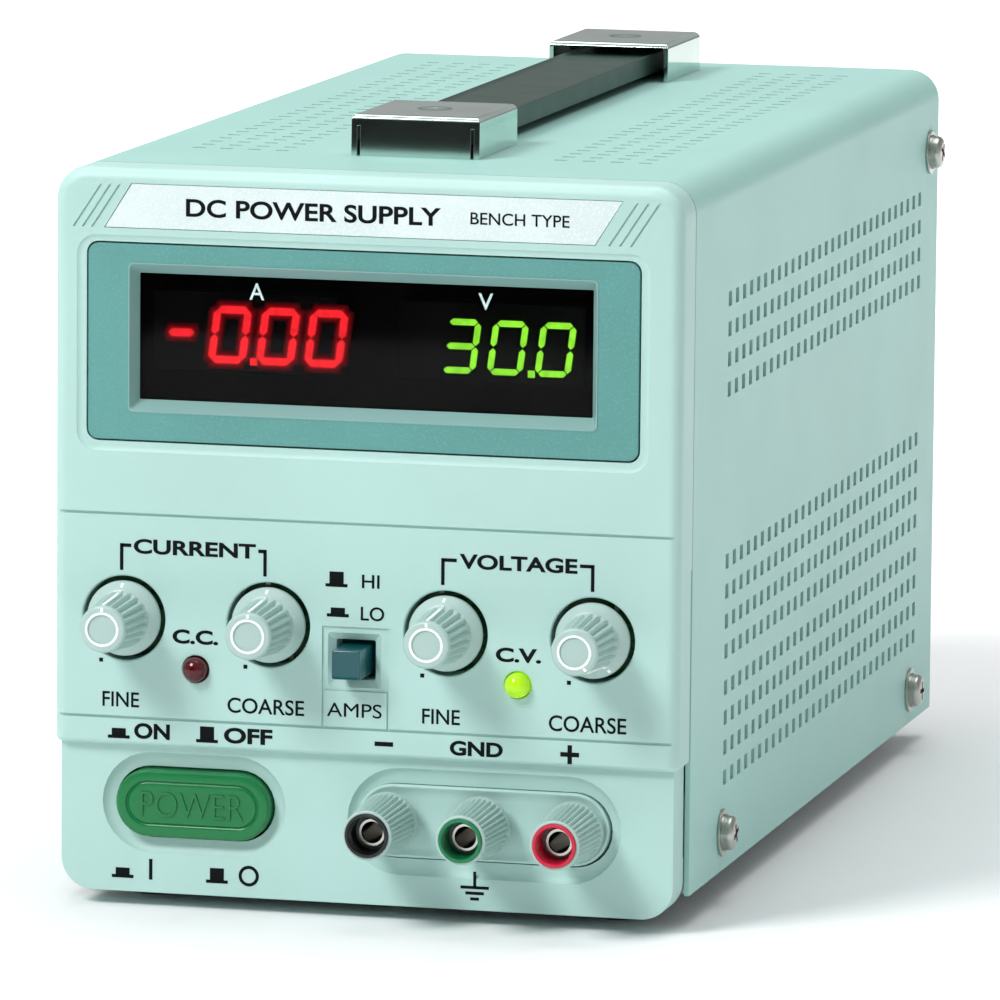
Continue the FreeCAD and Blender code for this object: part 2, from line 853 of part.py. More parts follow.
def make_cover():
    """Painted sheet cover, an upside-down U, with the side and top vents."""
    body = new_body("cover")
    outer = new_sketch(body, "XZ_Plane", "-(seam)")
    rectangle(outer, "-(half)", "base + cover_rise", "body_width", "body_height - cover_rise")
    pad(body, outer, "back - seam", True)
    inner = new_sketch(body, "XZ_Plane", "-(seam)")
    rectangle(inner, "-(half) + cover_gauge", "base + cover_rise",
              "body_width - 2 * cover_gauge", "body_height - cover_rise - cover_gauge")
    pocket(body, inner, "back - seam")
    for level, radius in (("top - cover_gauge", "corner_radius - cover_gauge"),
                          ("top", "corner_radius")):
        height = value(level)
        round_edges(body, lambda edge: along(edge, AXIS_Y) and at_level(edge, AXIS_Z, height),
                    radius)
    keep(cut("cover", body, [vent_cutters()]), "cover")


def make_chassis():
    """Folded base tray inside the cover, with low side flanges."""
    width = "2 * inner_half"
    front = "seam + chassis_setback"
    depth = "panel_front - (%s)" % front
    tray = block("chassis", "-(inner_half)", front, "base + cover_rise", width, depth,
                 "chassis_flange")
    room = block("chassis_room", "-(inner_half) + chassis_gauge", front, "chassis_floor",
                 "2 * (inner_half - chassis_gauge)", depth, "chassis_flange")
    keep(cut("chassis", tray, [room]), "chassis")


def make_rear_panel():
    """Flat rear panel with openings for the inlet and the two selectors."""
    body = new_body("rear_panel")
    sketch = new_sketch(body, "XZ_Plane", "-(panel_front)")
    rectangle(sketch, "-(inner_half)", "base + cover_rise", "2 * inner_half",
              "body_height - cover_rise - cover_gauge - fit_gap")
    rectangle(sketch, "inlet_x - inlet_width / 2 - slip_gap",
              "base + inlet_rise - inlet_height / 2 - slip_gap",
              "inlet_width + 2 * slip_gap", "inlet_height + 2 * slip_gap")
    for x in SELECTORS.values():
        rectangle(sketch, "(%s) - selector_width / 2 - slip_gap" % x,
                  "base + selector_rise - selector_height / 2 - slip_gap",
                  "selector_width + 2 * slip_gap", "selector_height + 2 * slip_gap")
    pad(body, sketch, "panel_gauge", True)
    round_edges(body, lambda edge: along(edge, AXIS_Y) and edge.Vertexes[0].Point.z
                > value("top - 10"), "corner_radius")
    keep(body, "rear_panel")


SELECTORS = {"left": "selector_x - selector_pitch / 2", "right": "selector_x + selector_pitch / 2"}


def make_heat_sink():
    """Finned cooler on the outside of the rear panel."""
    body = new_body("heat_sink")
    plate = new_sketch(body, "XZ_Plane", "-(panel_back)")
    rectangle(plate, "-sink_width / 2", "base + sink_rise", "sink_width", "sink_height")
    pad(body, plate, "sink_base", True)
    fin = new_sketch(body, "XZ_Plane", "-(panel_back + sink_base)")
    rectangle(fin, "-sink_width / 2", "base + sink_rise", "fin_thickness", "sink_height")
    first = pad(body, fin, "sink_depth + panel_setback - sink_base", True)
    row = body.newObject("PartDesign::LinearPattern", "heat_sink_fins")
    row.Originals = [first]
    row.Direction = (fin, ["H_Axis"])
    row.Occurrences = 12
    row.setExpression("Length", bind("sink_width - fin_thickness"))
    body.Tip = row
    keep(body, "heat_sink")
    cans = []
    for sign in ("-0.5", "0.5"):
        can = rod("transistor", "%s * transistor_pitch" % sign,
                  "panel_front - transistor_height", "base + sink_rise + sink_height / 2",
                  "transistor_radius", "transistor_height", TURNED_TO_Y)
        cans.append(can)
    keep(group("power_transistors", cans), "power_transistors")


def make_inlet():
    """Mains inlet with a fuse drawer above its socket, and the socket's three pins."""
    low = "base + inlet_rise - inlet_height / 2"
    front = "panel_back - inlet_depth"
    shell = block("inlet", "inlet_x - inlet_width / 2", front, low, "inlet_width",
                  "inlet_depth", "inlet_height")
    drawer_low = low + " + inlet_wall + cavity_height + inlet_shelf"
    rim = block("inlet_rim", "inlet_x - inlet_width / 2 - inlet_rim", "panel_back",
                low + " - inlet_rim", "inlet_width + 2 * inlet_rim", "inlet_flange",
                "inlet_height + 2 * inlet_rim")
    cavity = block("inlet_cavity", "inlet_x - cavity_width / 2", "inlet_face - cavity_depth",
                   low + " + inlet_wall", "cavity_width", "cavity_depth", "cavity_height")
    slot = block("drawer_slot", "inlet_x - drawer_width / 2 - fit_gap",
                 "inlet_face - drawer_depth - fit_gap",
                 drawer_low + " - fit_gap",
                 "drawer_width + 2 * fit_gap", "drawer_depth + fit_gap",
                 "drawer_height + 2 * fit_gap")
    keep(cut("mains_inlet", join("inlet", [shell, rim]), [cavity, slot]), "mains_inlet")
    pins = []
    for side, lift in (("-1", "0"), ("1", "0"), ("0", "1")):
        pins.append(block("pin", "inlet_x + %s * pin_spread - pin_width / 2" % side,
                          "inlet_face - cavity_depth",
                          low + " + pin_rise + %s * pin_height" % lift,
                          "pin_width", "cavity_depth - pin_setback", "pin_height"))
    keep(group("inlet_pins", pins), "inlet_pins")
    drawer = block("fuse_drawer", "inlet_x - drawer_width / 2", "inlet_face - drawer_depth",
                   drawer_low, "drawer_width", "drawer_depth", "drawer_height")
    pull = block("drawer_pull", "inlet_x - drawer_width / 4", "inlet_face",
                 drawer_low + " + drawer_height / 3", "drawer_width / 2", "drawer_pull",
                 "drawer_height / 3")
    keep(join("fuse_drawer", [drawer, pull]), "fuse_drawer")


def make_selectors():
    """Two slide switches that set the mains voltage."""
    cases = []
    low = "base + selector_rise"
    for side, x in SELECTORS.items():
        case = block("selector", "(%s) - selector_width / 2" % x,
                     "panel_back - selector_depth", low + " - selector_height / 2",
                     "selector_width", "selector_depth", "selector_height")
        track = block("selector_track", "(%s) - slider_width / 2 - fit_gap" % x,
                      "panel_back - track_depth",
                      low + " - slider_height / 2 - slider_travel / 2 - fit_gap",
                      "slider_width + 2 * fit_gap", "track_depth",
                      "slider_height + slider_travel + 2 * fit_gap")
        cases.append(cut("selector_" + side, case, [track]))
        slider = block(side + "_slider", "(%s) - slider_width / 2" % x,
                       "panel_back - track_depth + fit_gap",
                       low + " - slider_height / 2 - slider_travel / 2",
                       "slider_width", "track_depth - fit_gap + slider_proud", "slider_height")
        keep(slider, side + "_selector_slider")
    keep(group("selector_cases", cases), "selector_cases")


def make_side_screws():
    """Pan head screws with washers, six in all, that hold the cover."""
    items = []
    spots = (("screw_front", "screw_low_rise"), ("screw_back", "screw_low_rise"),
             ("screw_high", "screw_high_rise"))
    for depth, rise in spots:
        for side in (1, -1):
            turn = TURNED_TO_X if side == 1 else Rotation(Vector(0, 1, 0), -90)
            wall = "%d * half" % side
            spot = ("face + %s" % depth, "base + %s" % rise)
            washer = rod("screw_washer", wall, spot[0], spot[1], "screw_washer_radius",
                         "screw_washer", turn)
            start = "%d * (half + screw_washer)" % side
            head = rod("screw_head", start, spot[0], spot[1], "screw_radius", "screw_head",
                       turn)
            items.append(join("cover_screw", [washer, head]))
    keep(group("cover_screws", items), "cover_screws")


def make_handle():
    """Strap handle: a flat strap held down at both ends by folded metal caps."""
    ends = (("front", "face + cap_front"), ("rear", "face + cap_back - cap_length"))
    screws = []
    for name, start in ends:
        shell = block("cap", "-cap_width / 2", start, "handle_base", "cap_width",
                      "cap_length", "cap_height")
        inner_start = start if name == "rear" else plus(start, "cap_gauge")
        room = block("cap_room", "-cap_width / 2 + cap_gauge", inner_start, "handle_base",
                     "cap_width - 2 * cap_gauge", "cap_length - cap_gauge",
                     "cap_height - cap_gauge")
        keep(cut("handle_cap_" + name, shell, [room]), name + "_handle_cap")
        screws.append(rod("handle_screw", "0", plus(start, "cap_length / 2"),
                          "handle_base", "handle_screw_radius", "strap_lift - slip_gap"))
    keep(group("handle_screws", screws), "handle_screws")
    strap = block("handle_strap", "-strap_width / 2", "face + cap_front + 2 * cap_gauge",
                  "handle_base + strap_lift", "strap_width",
                  "cap_back - cap_front - 4 * cap_gauge", "strap_thickness")
    keep(strap, "handle_strap")


def make_feet():
    """Four rubber feet screwed up into the base tray."""
    feet = []
    screws = []
    for side in (-1, 1):
        for depth in ("foot_front", "foot_back"):
            x = "%d * (half - foot_inset_x)" % side
            y = "face + %s" % depth
            pad_body = rod("foot", x, y, "0", "foot_radius", "foot_height + cover_rise")
            bore = rod("foot_bore", x, y, "foot_well_depth", "foot_screw_radius + slip_gap",
                       "foot_height + cover_rise")
            well = rod("foot_well", x, y, "0", "foot_well_radius", "foot_well_depth")
            feet.append(cut("foot", pad_body, [bore, well]))
            screws.append(rod("foot_screw", x, y, "foot_screw_end", "foot_screw_radius",
                              "foot_height + cover_rise - foot_screw_end"))
    keep(group("rubber_feet", feet), "rubber_feet")
    keep(group("foot_screws", screws), "foot_screws")


# ---------------------------------------------------------------- inside

def make_transformer():
    """Laminated core with two windows, and the coil wound on its middle leg."""
    front = "face + core_front"
    core = block("core", "-core_width / 2", front, "chassis_floor", "core_width",
                 "core_depth", "core_height")
    windows = []
    for side in ("-1", "1"):
        windows.append(block("core_window",
                             "%s * (core_width / 4) - core_width / 4 + core_leg * 0.75" % side,
                             front, "chassis_floor + core_leg",
                             "core_width / 2 - core_leg * 1.5", "core_depth",
                             "core_height - 2 * core_leg"))
    keep(cut("transformer_core", core, windows), "transformer_core")
    wide = "core_width - 2 * core_leg * 0.75 - 2 * coil_gap"
    outer = block("coil", "-(%s) / 2" % wide, front + " - coil_overhang",
                  "chassis_floor + core_leg + coil_gap", wide,
                  "core_depth + 2 * coil_overhang", "core_height - 2 * core_leg - 2 * coil_gap")
    leg = block("coil_room", "-core_leg * 0.75 - coil_gap", front + " - coil_gap",
                "chassis_floor + core_leg", "core_leg * 1.5 + 2 * coil_gap",
                "core_depth + 2 * coil_gap", "core_height - 2 * core_leg")
    keep(cut("transformer_coil", outer, [leg]), "transformer_coil")


def make_main_board():
    """Regulator board on four spacers, with its smoothing capacitors."""
    left = "-main_board_width / 2"
    front = "face + main_board_front"
    level = "chassis_floor + main_board_rise"
    board = block("main_board", left, front, level, "main_board_width", "main_board_depth",
                  "board_thickness")
    keep(board, "main_board")
    spacers = []
    for side in ("-1", "1"):
        for depth in ("spacer_inset", "main_board_depth - spacer_inset"):
            spacers.append(rod("spacer", "%s * (main_board_width / 2 - spacer_inset)" % side,
                               plus(front, depth), "chassis_floor", "spacer_radius",
                               "main_board_rise"))
    keep(group("board_spacers", spacers), "board_spacers")
    cans = []
    for side in ("-1", "1"):
        cans.append(rod("capacitor", "%s * main_board_width / 4" % side,
                        plus(front, "main_board_depth / 2"), level + " + board_thickness",
                        "capacitor_radius", "capacitor_height"))
    keep(group("smoothing_capacitors", cans), "smoothing_capacitors")


# ---------------------------------------------------------------- build and write

def check_document():
    """Stop if any object failed to build, or if a sub-part isn't a sound shape."""
    for item in DOC.Objects:
        if "Invalid" in item.State or "Error" in item.State:
            raise RuntimeError("failed object: " + item.Name)
    for item in NODES:
        shape = item.Shape
        if shape.isNull() or not shape.isValid() or not shape.Solids:
            raise RuntimeError("bad shape: " + item.Label)


def write_parts():
    os.makedirs("parts", exist_ok=True)
    for item in NODES:
        item.Shape.exportStep("parts/" + item.Label + ".step")


def main():
    fill_sheet()
    make_bezel()
    make_badge()
    make_surround()
    make_display()
    make_knobs()
    make_lamps()
    make_range_switch()
    make_power_switch()
    make_posts()
    make_cover()
    make_chassis()
    make_rear_panel()
    make_heat_sink()
    make_inlet()
    make_selectors()
    make_side_screws()
    make_handle()
    make_feet()
    make_transformer()
    make_main_board()
    DOC.recompute()
    check_document()
    write_parts()
    print(len(NODES), "sub-parts")


main()
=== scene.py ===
"""Looks of a bench power supply: moulded front, painted cover, strap handle and binding posts.

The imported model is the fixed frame. Sizes below are in millimetres in that frame, with the
front facing -Y, and every piece is brought to metres when it is finished. A "rise" is a height
above the bezel's bottom edge.
"""
import json
import math

import bmesh
import bpy
from mathutils import Matrix, Vector

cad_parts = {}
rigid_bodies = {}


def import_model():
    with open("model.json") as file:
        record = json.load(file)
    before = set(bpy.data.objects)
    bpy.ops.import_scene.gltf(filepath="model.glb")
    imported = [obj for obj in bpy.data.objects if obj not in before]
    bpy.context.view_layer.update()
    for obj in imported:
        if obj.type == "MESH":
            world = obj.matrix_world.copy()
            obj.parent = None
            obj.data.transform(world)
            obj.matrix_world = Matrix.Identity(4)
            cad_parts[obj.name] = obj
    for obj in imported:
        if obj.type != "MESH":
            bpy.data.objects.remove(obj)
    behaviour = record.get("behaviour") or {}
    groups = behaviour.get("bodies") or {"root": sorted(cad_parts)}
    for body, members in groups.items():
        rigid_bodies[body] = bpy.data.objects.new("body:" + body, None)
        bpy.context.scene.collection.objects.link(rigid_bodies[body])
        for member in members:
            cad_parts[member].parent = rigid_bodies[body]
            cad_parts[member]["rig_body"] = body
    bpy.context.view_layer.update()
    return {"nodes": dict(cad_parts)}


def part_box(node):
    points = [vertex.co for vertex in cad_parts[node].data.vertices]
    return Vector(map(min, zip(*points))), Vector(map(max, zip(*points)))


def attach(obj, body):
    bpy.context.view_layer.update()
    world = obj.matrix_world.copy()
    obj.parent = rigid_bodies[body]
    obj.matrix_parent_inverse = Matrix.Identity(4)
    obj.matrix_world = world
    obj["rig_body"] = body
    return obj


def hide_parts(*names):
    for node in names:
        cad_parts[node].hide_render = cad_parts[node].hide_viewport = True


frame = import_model()

MM = 0.001
TURN = 2 * math.pi
NODES = frame["nodes"]


def low(node):
    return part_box(node)[0] / MM


def high(node):
    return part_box(node)[1] / MM


def centre(node):
    return (low(node) + high(node)) / 2


# Places that many pieces share, read from the frame.
FACE = low("front_bezel").y
BASE = low("front_bezel").z
HALF = high("front_bezel").x
BEZEL_BACK = high("front_bezel").y
BEZEL_TOP = high("front_bezel").z
LOWER_FACE = FACE + 2.0
LOWER_INSET = 1.1
STEP_RISE = 30.0
GROOVE_RISES = (35.3, 76.3)
GROOVE_WIDTH = 0.6
GROOVE_DEPTH = 0.5
BEZEL_WALL = 2.5
CORNER = 6.5
# How far a through cutter runs past what it cuts, and how far ahead of a face a shallow one starts.
PAST = 5.0
LEAD = 1.0
# How far printed marks stand off a face.
PRINT = 0.05
WINDOW_FACE = low("display_window").y
POST_TIP = low("negative_collar").y
POSTS = ("negative", "ground", "positive")
KNOBS = ("current_fine", "current_coarse", "voltage_fine", "voltage_coarse")


# ------------------------------------------------------------------ materials

def srgb(red, green, blue):
    """A display colour, 0 to 255, as the linear colour that a shader takes."""
    channels = []
    for level in (red, green, blue):
        level /= 255
        channels.append(level / 12.92 if level <= 0.04045 else ((level + 0.055) / 1.055) ** 2.4)
    return (*channels, 1.0)


class Field:
    """A number that varies over a surface. Arithmetic on it adds Math nodes."""

    def __init__(self, finish, socket):
        self.finish = finish
        self.socket = socket

    def _math(self, operation, first, second):
        return self.finish.node("ShaderNodeMath", {"operation": operation},
                                {0: first, 1: second})

    def __radd__(self, other):
        return self._math("ADD", other, self)

    def __rsub__(self, other):
        return self._math("SUBTRACT", other, self)

    def __mul__(self, other):
        return self._math("MULTIPLY", self, other)

    def __rmul__(self, other):
        return self._math("MULTIPLY", other, self)

    def clamp(self, lower, upper):
        """This field, squeezed from lower..upper on to 0..1."""
        return self.finish.node("ShaderNodeMapRange", {"interpolation_type": "SMOOTHSTEP"},
                                {0: self, 1: lower, 2: upper, 3: 0.0, 4: 1.0})


class Finish:
    """A material under construction, on one Principled shader."""

    def __init__(self, name):
        self.material = bpy.data.materials.new(name)
        self.material.use_nodes = True
        self.tree = self.material.node_tree
        self.shader = self.tree.nodes["Principled BSDF"]

    def node(self, kind, settings=None, inputs=None, output=0):
        """Add a node: its settings first, then the values or links of its sockets."""
        made = self.tree.nodes.new(kind)
        for key, setting in (settings or {}).items():
            setattr(made, key, setting)
        for key, entry in (inputs or {}).items():
            self.feed(made.inputs[key], entry)
        return Field(self, made.outputs[output])

    def feed(self, socket, entry):
        if isinstance(entry, Field):
            self.tree.links.new(entry.socket, socket)
        else:
            socket.default_value = entry

    def put(self, **entries):
        """Set the shader's sockets: base_color for Base Color, and so on."""
        for key, entry in entries.items():
            words = key.replace("_", " ").title().replace("Ior", "IOR")
            self.feed(self.shader.inputs[words], entry)

    def places(self, stretch=(1, 1, 1)):
        """Object coordinates, stretched along each axis."""
        spot = self.node("ShaderNodeTexCoord", output=3)
        return self.node("ShaderNodeMapping", {}, {"Vector": spot, "Scale": stretch})

    def noise(self, size, detail=3.0, stretch=(1, 1, 1)):
        """Cloudy variation with features about this many millimetres across."""
        return self.node("ShaderNodeTexNoise", {}, {"Vector": self.places(stretch),
                         "Scale": 1 / (size * MM), "Detail": detail})

    def blend(self, first, second, share):
        """Mix two colours by a field."""
        return self.node("ShaderNodeMix", {"data_type": "RGBA"}, {0: share, 6: first, 7: second},
                         output=2)

    def relief(self, height, depth):
        """Feed the shader's normal with a bump this many millimetres deep."""
        bump = self.node("ShaderNodeBump", {}, {"Height": height, "Distance": depth * MM,
                                                "Strength": 1.0})
        self.feed(self.shader.inputs["Normal"], bump)


def deeper(colour, share):
    return (*(channel * share for channel in colour[:3]), 1.0)


def moulding(name, colour, roughness, grain=0.012, mottle=0.05):
    """Moulded plastic: a fine spark-eroded grain, faint clouds of colour, uneven gloss."""
    finish = Finish(name)
    clouds = finish.noise(38.0, 4.0)
    finish.put(base_color=finish.blend(deeper(colour, 1 - mottle), colour, clouds.clamp(0.3, 0.7)),
               roughness=roughness - 0.05 + 0.1 * finish.noise(9.0))
    if grain:
        finish.relief(finish.noise(0.35, 2.0), grain)
    return finish


def paint(name, colour, roughness):
    """Baked enamel on sheet metal, with the soft dimples of a sprayed coat."""
    finish = Finish(name)
    clouds = finish.noise(60.0, 5.0)
    specks = finish.noise(1.1, 2.0).clamp(0.62, 0.75)
    base = finish.blend(deeper(colour, 0.95), colour, clouds.clamp(0.3, 0.7))
    finish.put(base_color=finish.blend(base, deeper(colour, 0.93), specks * 0.6),
               roughness=roughness - 0.06 + 0.12 * finish.noise(14.0))
    finish.relief(finish.noise(0.9, 3.0), 0.03)
    return finish


def metal(name, colour, roughness, brushed=None, wear=0.08, scratch=0.004):
    """Bare or plated metal; brushed names the axis that the brush lines run along."""
    finish = Finish(name)
    stretch = [1.0, 1.0, 1.0]
    if brushed is not None:
        stretch[brushed] = 0.03
    lines = finish.noise(0.3 if brushed is not None else 3.0, 4.0, stretch)
    dull = finish.noise(18.0, 4.0)
    finish.put(base_color=finish.blend(deeper(colour, 0.86), colour, dull.clamp(0.35, 0.65)),
               metallic=1.0, roughness=roughness + wear * dull)
    finish.relief(lines, scratch)
    return finish


def rubber(name, colour):
    finish = Finish(name)
    dust = finish.noise(5.0, 5.0)
    finish.put(base_color=finish.blend(colour, deeper(colour, 1.7), dust.clamp(0.5, 0.8)),
               roughness=0.7 + 0.15 * dust)
    finish.relief(finish.noise(0.5, 3.0), 0.03)
    return finish


def ink(name, colour):
    """Screen-printed ink with a slightly uneven film."""
    finish = Finish(name)
    film = finish.noise(0.7, 3.0)
    finish.put(base_color=finish.blend(colour, deeper(colour, 1.5), film.clamp(0.45, 0.8)),
               roughness=0.6 + 0.15 * film, specular_ior_level=0.12)
    finish.relief(film, 0.004)
    return finish


def film_plate(name, colour):
    """Matt printed film with a sand-textured face, whose sparkle is painted as lighter specks on
    the high spots of the sand.
    """
    finish = Finish(name)
    sand_and_glint = finish.noise(0.45, 2.0)
    clouds = finish.noise(22.0, 3.0)
    base = finish.blend(deeper(colour, 0.93), colour, clouds.clamp(0.35, 0.65))
    # Painted glints: the base colour lightens where the sand stands high.
    finish.put(base_color=finish.blend(base, deeper(colour, 1.14), sand_and_glint.clamp(0.5, 0.75)),
               roughness=0.46 + 0.12 * sand_and_glint)
    finish.relief(sand_and_glint, 0.012)
    return finish


def glowing(name, colour, strength):
    """A lit segment or lamp whose light is a little uneven, or a painted glow laid round lit
    segments.
    """
    finish = Finish(name)
    cells = finish.noise(1.6, 2.0)
    finish.put(base_color=deeper(colour, 0.5), roughness=0.4,
               emission_color=finish.blend(deeper(colour, 0.75), colour, cells.clamp(0.3, 0.6)),
               emission_strength=strength)
    return finish


def clear(name, colour, roughness, ior):
    """Tinted clear plastic with faint ripples of moulding in its surface."""
    finish = Finish(name)
    ripple = finish.noise(12.0, 2.0)
    finish.put(base_color=finish.blend(deeper(colour, 0.9), colour, ripple.clamp(0.3, 0.7)),
               roughness=roughness + 0.01 * ripple, transmission_weight=1.0, ior=ior)
    finish.relief(ripple, 0.01)
    return finish


def lens(name, colour, glow):
    """Lamp lens: glossy coloured plastic with light or dark inside it. On an unlit lens or a clear
    cap the weak emission is a painted glow.
    """
    finish = Finish(name)
    depth = finish.noise(2.5, 2.0)
    finish.put(base_color=colour, roughness=0.12 + 0.05 * depth,
               emission_color=finish.blend(deeper(colour, 0.7), colour, depth.clamp(0.3, 0.7)),
               emission_strength=glow)
    finish.relief(depth, 0.01)
    return finish


def circuit_board():
    """Solder mask over faint tracks, with bright pads where components sit."""
    finish = Finish("board_laminate")
    grid = finish.node("ShaderNodeTexVoronoi", {"distance": "CHEBYCHEV"},
                       {"Vector": finish.places(), "Scale": 1 / (5.0 * MM)})
    pads = 1 - grid.clamp(0.08, 0.12)
    tracks = finish.noise(6.0, 1.0, (1, 1, 4)).clamp(0.49, 0.52)
    mask = finish.blend(srgb(22, 82, 46), srgb(38, 112, 60), tracks)
    finish.put(base_color=finish.blend(mask, srgb(196, 196, 186), pads),
               metallic=0.8 * pads, roughness=0.35 + 0.1 * tracks)
    finish.relief(tracks, 0.03)
    return finish


def laminations():
    """Edges of stacked iron sheets, varnished and slightly rusty."""
    finish = Finish("core_laminations")
    layers = finish.node("ShaderNodeTexWave", {"bands_direction": "Y"},
                         {"Vector": finish.places(), "Scale": 0.32 / (0.5 * MM),
                          "Distortion": 0.4})
    rust = finish.noise(9.0, 5.0).clamp(0.55, 0.7)
    iron = finish.blend(srgb(58, 56, 58), srgb(98, 95, 96), layers)
    finish.put(base_color=finish.blend(iron, srgb(112, 74, 48), rust * 0.5),
               metallic=0.7 - 0.5 * rust, roughness=0.42 + 0.3 * rust)
    finish.relief(layers, 0.08)
    return finish


def wrapped_tape():
    """Turns of glossy insulating tape round a coil."""
    finish = Finish("coil_tape")
    turns = finish.node("ShaderNodeTexWave", {"bands_direction": "Z", "wave_profile": "SAW"},
                        {"Vector": finish.places(), "Scale": 0.32 / (9.0 * MM),
                         "Distortion": 0.6})
    finish.put(base_color=finish.blend(srgb(196, 152, 44), srgb(226, 186, 72), turns),
               roughness=0.28 + 0.12 * turns)
    finish.relief(turns, 0.15)
    return finish


def can_sleeve():
    """Shrink sleeve of an electrolytic capacitor with its pale polarity stripe."""
    finish = Finish("capacitor_sleeve")
    stripe = finish.node("ShaderNodeTexWave", {"bands_direction": "X"},
                         {"Vector": finish.places(), "Scale": 0.32 / (25.0 * MM)})
    shrink = finish.noise(4.0, 3.0, (1, 1, 0.2))
    finish.put(base_color=finish.blend(srgb(30, 44, 78), srgb(176, 184, 196),
                                       stripe.clamp(0.93, 0.96)),
               roughness=0.3 + 0.1 * shrink)
    finish.relief(shrink, 0.05)
    return finish


PANEL = srgb(184, 220, 214)
SHELL = srgb(166, 212, 204)
FINISHES = {
    "panel": moulding("panel_moulding", PANEL, 0.45),
    "cover": paint("cover_enamel", SHELL, 0.42),
    "rear": paint("rear_enamel", srgb(176, 208, 198), 0.5),
    "badge": film_plate("badge_film", srgb(226, 240, 240)),
    "surround": film_plate("surround_film", srgb(96, 158, 153)),
    "bevel": moulding("bevel_moulding", srgb(140, 180, 176), 0.24),
    "window": clear("window_tint", srgb(150, 150, 154), 0.03, 1.16),
    "digit_block": moulding("digit_block", srgb(16, 15, 16), 0.6),
    "red_light": glowing("red_segments", srgb(226, 34, 40), 4.6),
    # Painted glow: dimmer, widened red layers behind the ammeter's bars, standing in for their
    # light spreading round them.
    "red_haze_0": glowing("red_haze_0", srgb(150, 10, 16), 2.6),
    "red_haze_1": glowing("red_haze_1", srgb(130, 6, 12), 1.5),
    "red_haze_2": glowing("red_haze_2", srgb(110, 4, 10), 0.8),
    "green_light": glowing("green_segments", srgb(132, 216, 48), 4.8),
    "knob": moulding("knob_moulding", srgb(178, 204, 198), 0.33, 0.006),
    "knob_mark": ink("knob_paint", srgb(244, 250, 250)),
    "steel": metal("shaft_steel", srgb(186, 188, 188), 0.25, 1),
    "nickel": metal("nickel_plate", srgb(206, 204, 198), 0.16),
    "chrome": metal("handle_chrome", srgb(206, 224, 217), 0.07, None, 0.05, 0.002),
    "screw": metal("screw_zinc", srgb(192, 192, 186), 0.24),
    "zinc": metal("zinc_sheet", srgb(176, 180, 180), 0.34, 1),
    "black_anodised": metal("black_anodised", srgb(40, 41, 43), 0.38, 2, 0.1),
    "brass": metal("pin_brass", srgb(206, 178, 110), 0.22),
    "ink": ink("legend_ink", srgb(9, 14, 14)),
    "window_ink": ink("window_ink", srgb(206, 226, 226)),
    # The red lamp is unlit and the range cap is no lamp: their weak emission is a painted glow for
    # light inside the plastic.
    "red_lens": lens("red_lamp_lens", srgb(78, 0, 14), 0.05),
    "green_lens": lens("green_lamp_lens", srgb(158, 208, 14), 0.55),
    "range_cap": lens("range_cap", srgb(14, 80, 86), 0.03),
    "power_cap": moulding("power_cap", srgb(10, 122, 64), 0.3, 0.006, 0.08),
    "dark": moulding("dark_moulding", srgb(26, 28, 30), 0.5),
    "black_collar": moulding("black_insulator", srgb(14, 18, 18), 0.28, 0),
    "green_collar": moulding("green_insulator", srgb(10, 120, 74), 0.28, 0),
    "red_collar": moulding("red_insulator", srgb(206, 26, 62), 0.28, 0),
    "strap": moulding("strap_cover", srgb(28, 56, 45), 0.42, 0.02, 0.1),
    "rubber": rubber("foot_rubber", srgb(24, 25, 26)),
    "board": circuit_board(),
    "core": laminations(),
    "tape": wrapped_tape(),
    "sleeve": can_sleeve(),
}


# ------------------------------------------------------------------ shapes

def stadium(x, z, width, height, steps=14):
    """Outline of a slot with round ends."""
    radius = height / 2
    reach = width / 2 - radius
    points = []
    for side, start in ((-1, math.pi / 2), (1, -math.pi / 2)):
        for step in range(steps + 1):
            angle = start + math.pi * step / steps
            points.append((x + side * reach + radius * math.cos(angle),
                           z + radius * math.sin(angle)))
    return points


def rounded(left, right, bottom, top, radius, steps=6):
    """Outline of a rectangle with round corners."""
    points = []
    corners = ((right - radius, top - radius, 0), (left + radius, top - radius, 1),
               (left + radius, bottom + radius, 2), (right - radius, bottom + radius, 3))
    for x, z, quarter in corners:
        for step in range(steps + 1):
            angle = (quarter + step / steps) * math.pi / 2
            points.append((x + radius * math.cos(angle), z + radius * math.sin(angle)))
    return points


def loft(rings, ring=False):
    """A closed solid through a row of outlines, each given with its place along Y.

    The row ends in flat caps, or, for a ring, joins back on to its first outline.
    """
    bm = bmesh.new()
    loops = []
    for outline, depth in rings:
        verts = [bm.verts.new((x, depth, z)) for x, z in outline]
        loops.append([bm.edges.new((vert, verts[index - 1])) for index, vert in enumerate(verts)])
    for first, second in zip(loops, loops[1:] + (loops[:1] if ring else [])):
        bmesh.ops.bridge_loops(bm, edges=first + second)
    if not ring:
        for end in (loops[0], loops[-1]):
            bmesh.ops.contextual_create(bm, geom=end)
    bmesh.ops.recalc_face_normals(bm, faces=bm.faces)
    return bm


def block(corner, opposite):
    """A box between two opposite corners, in either order."""
    first = Vector(map(min, corner, opposite))
    second = Vector(map(max, corner, opposite))
    bm = bmesh.new()
    place = Matrix.Translation((first + second) / 2) @ Matrix.Diagonal((*(second - first), 1))
    bmesh.ops.create_cube(bm, size=1, matrix=place)
    bmesh.ops.recalc_face_normals(bm, faces=bm.faces)
    return bm


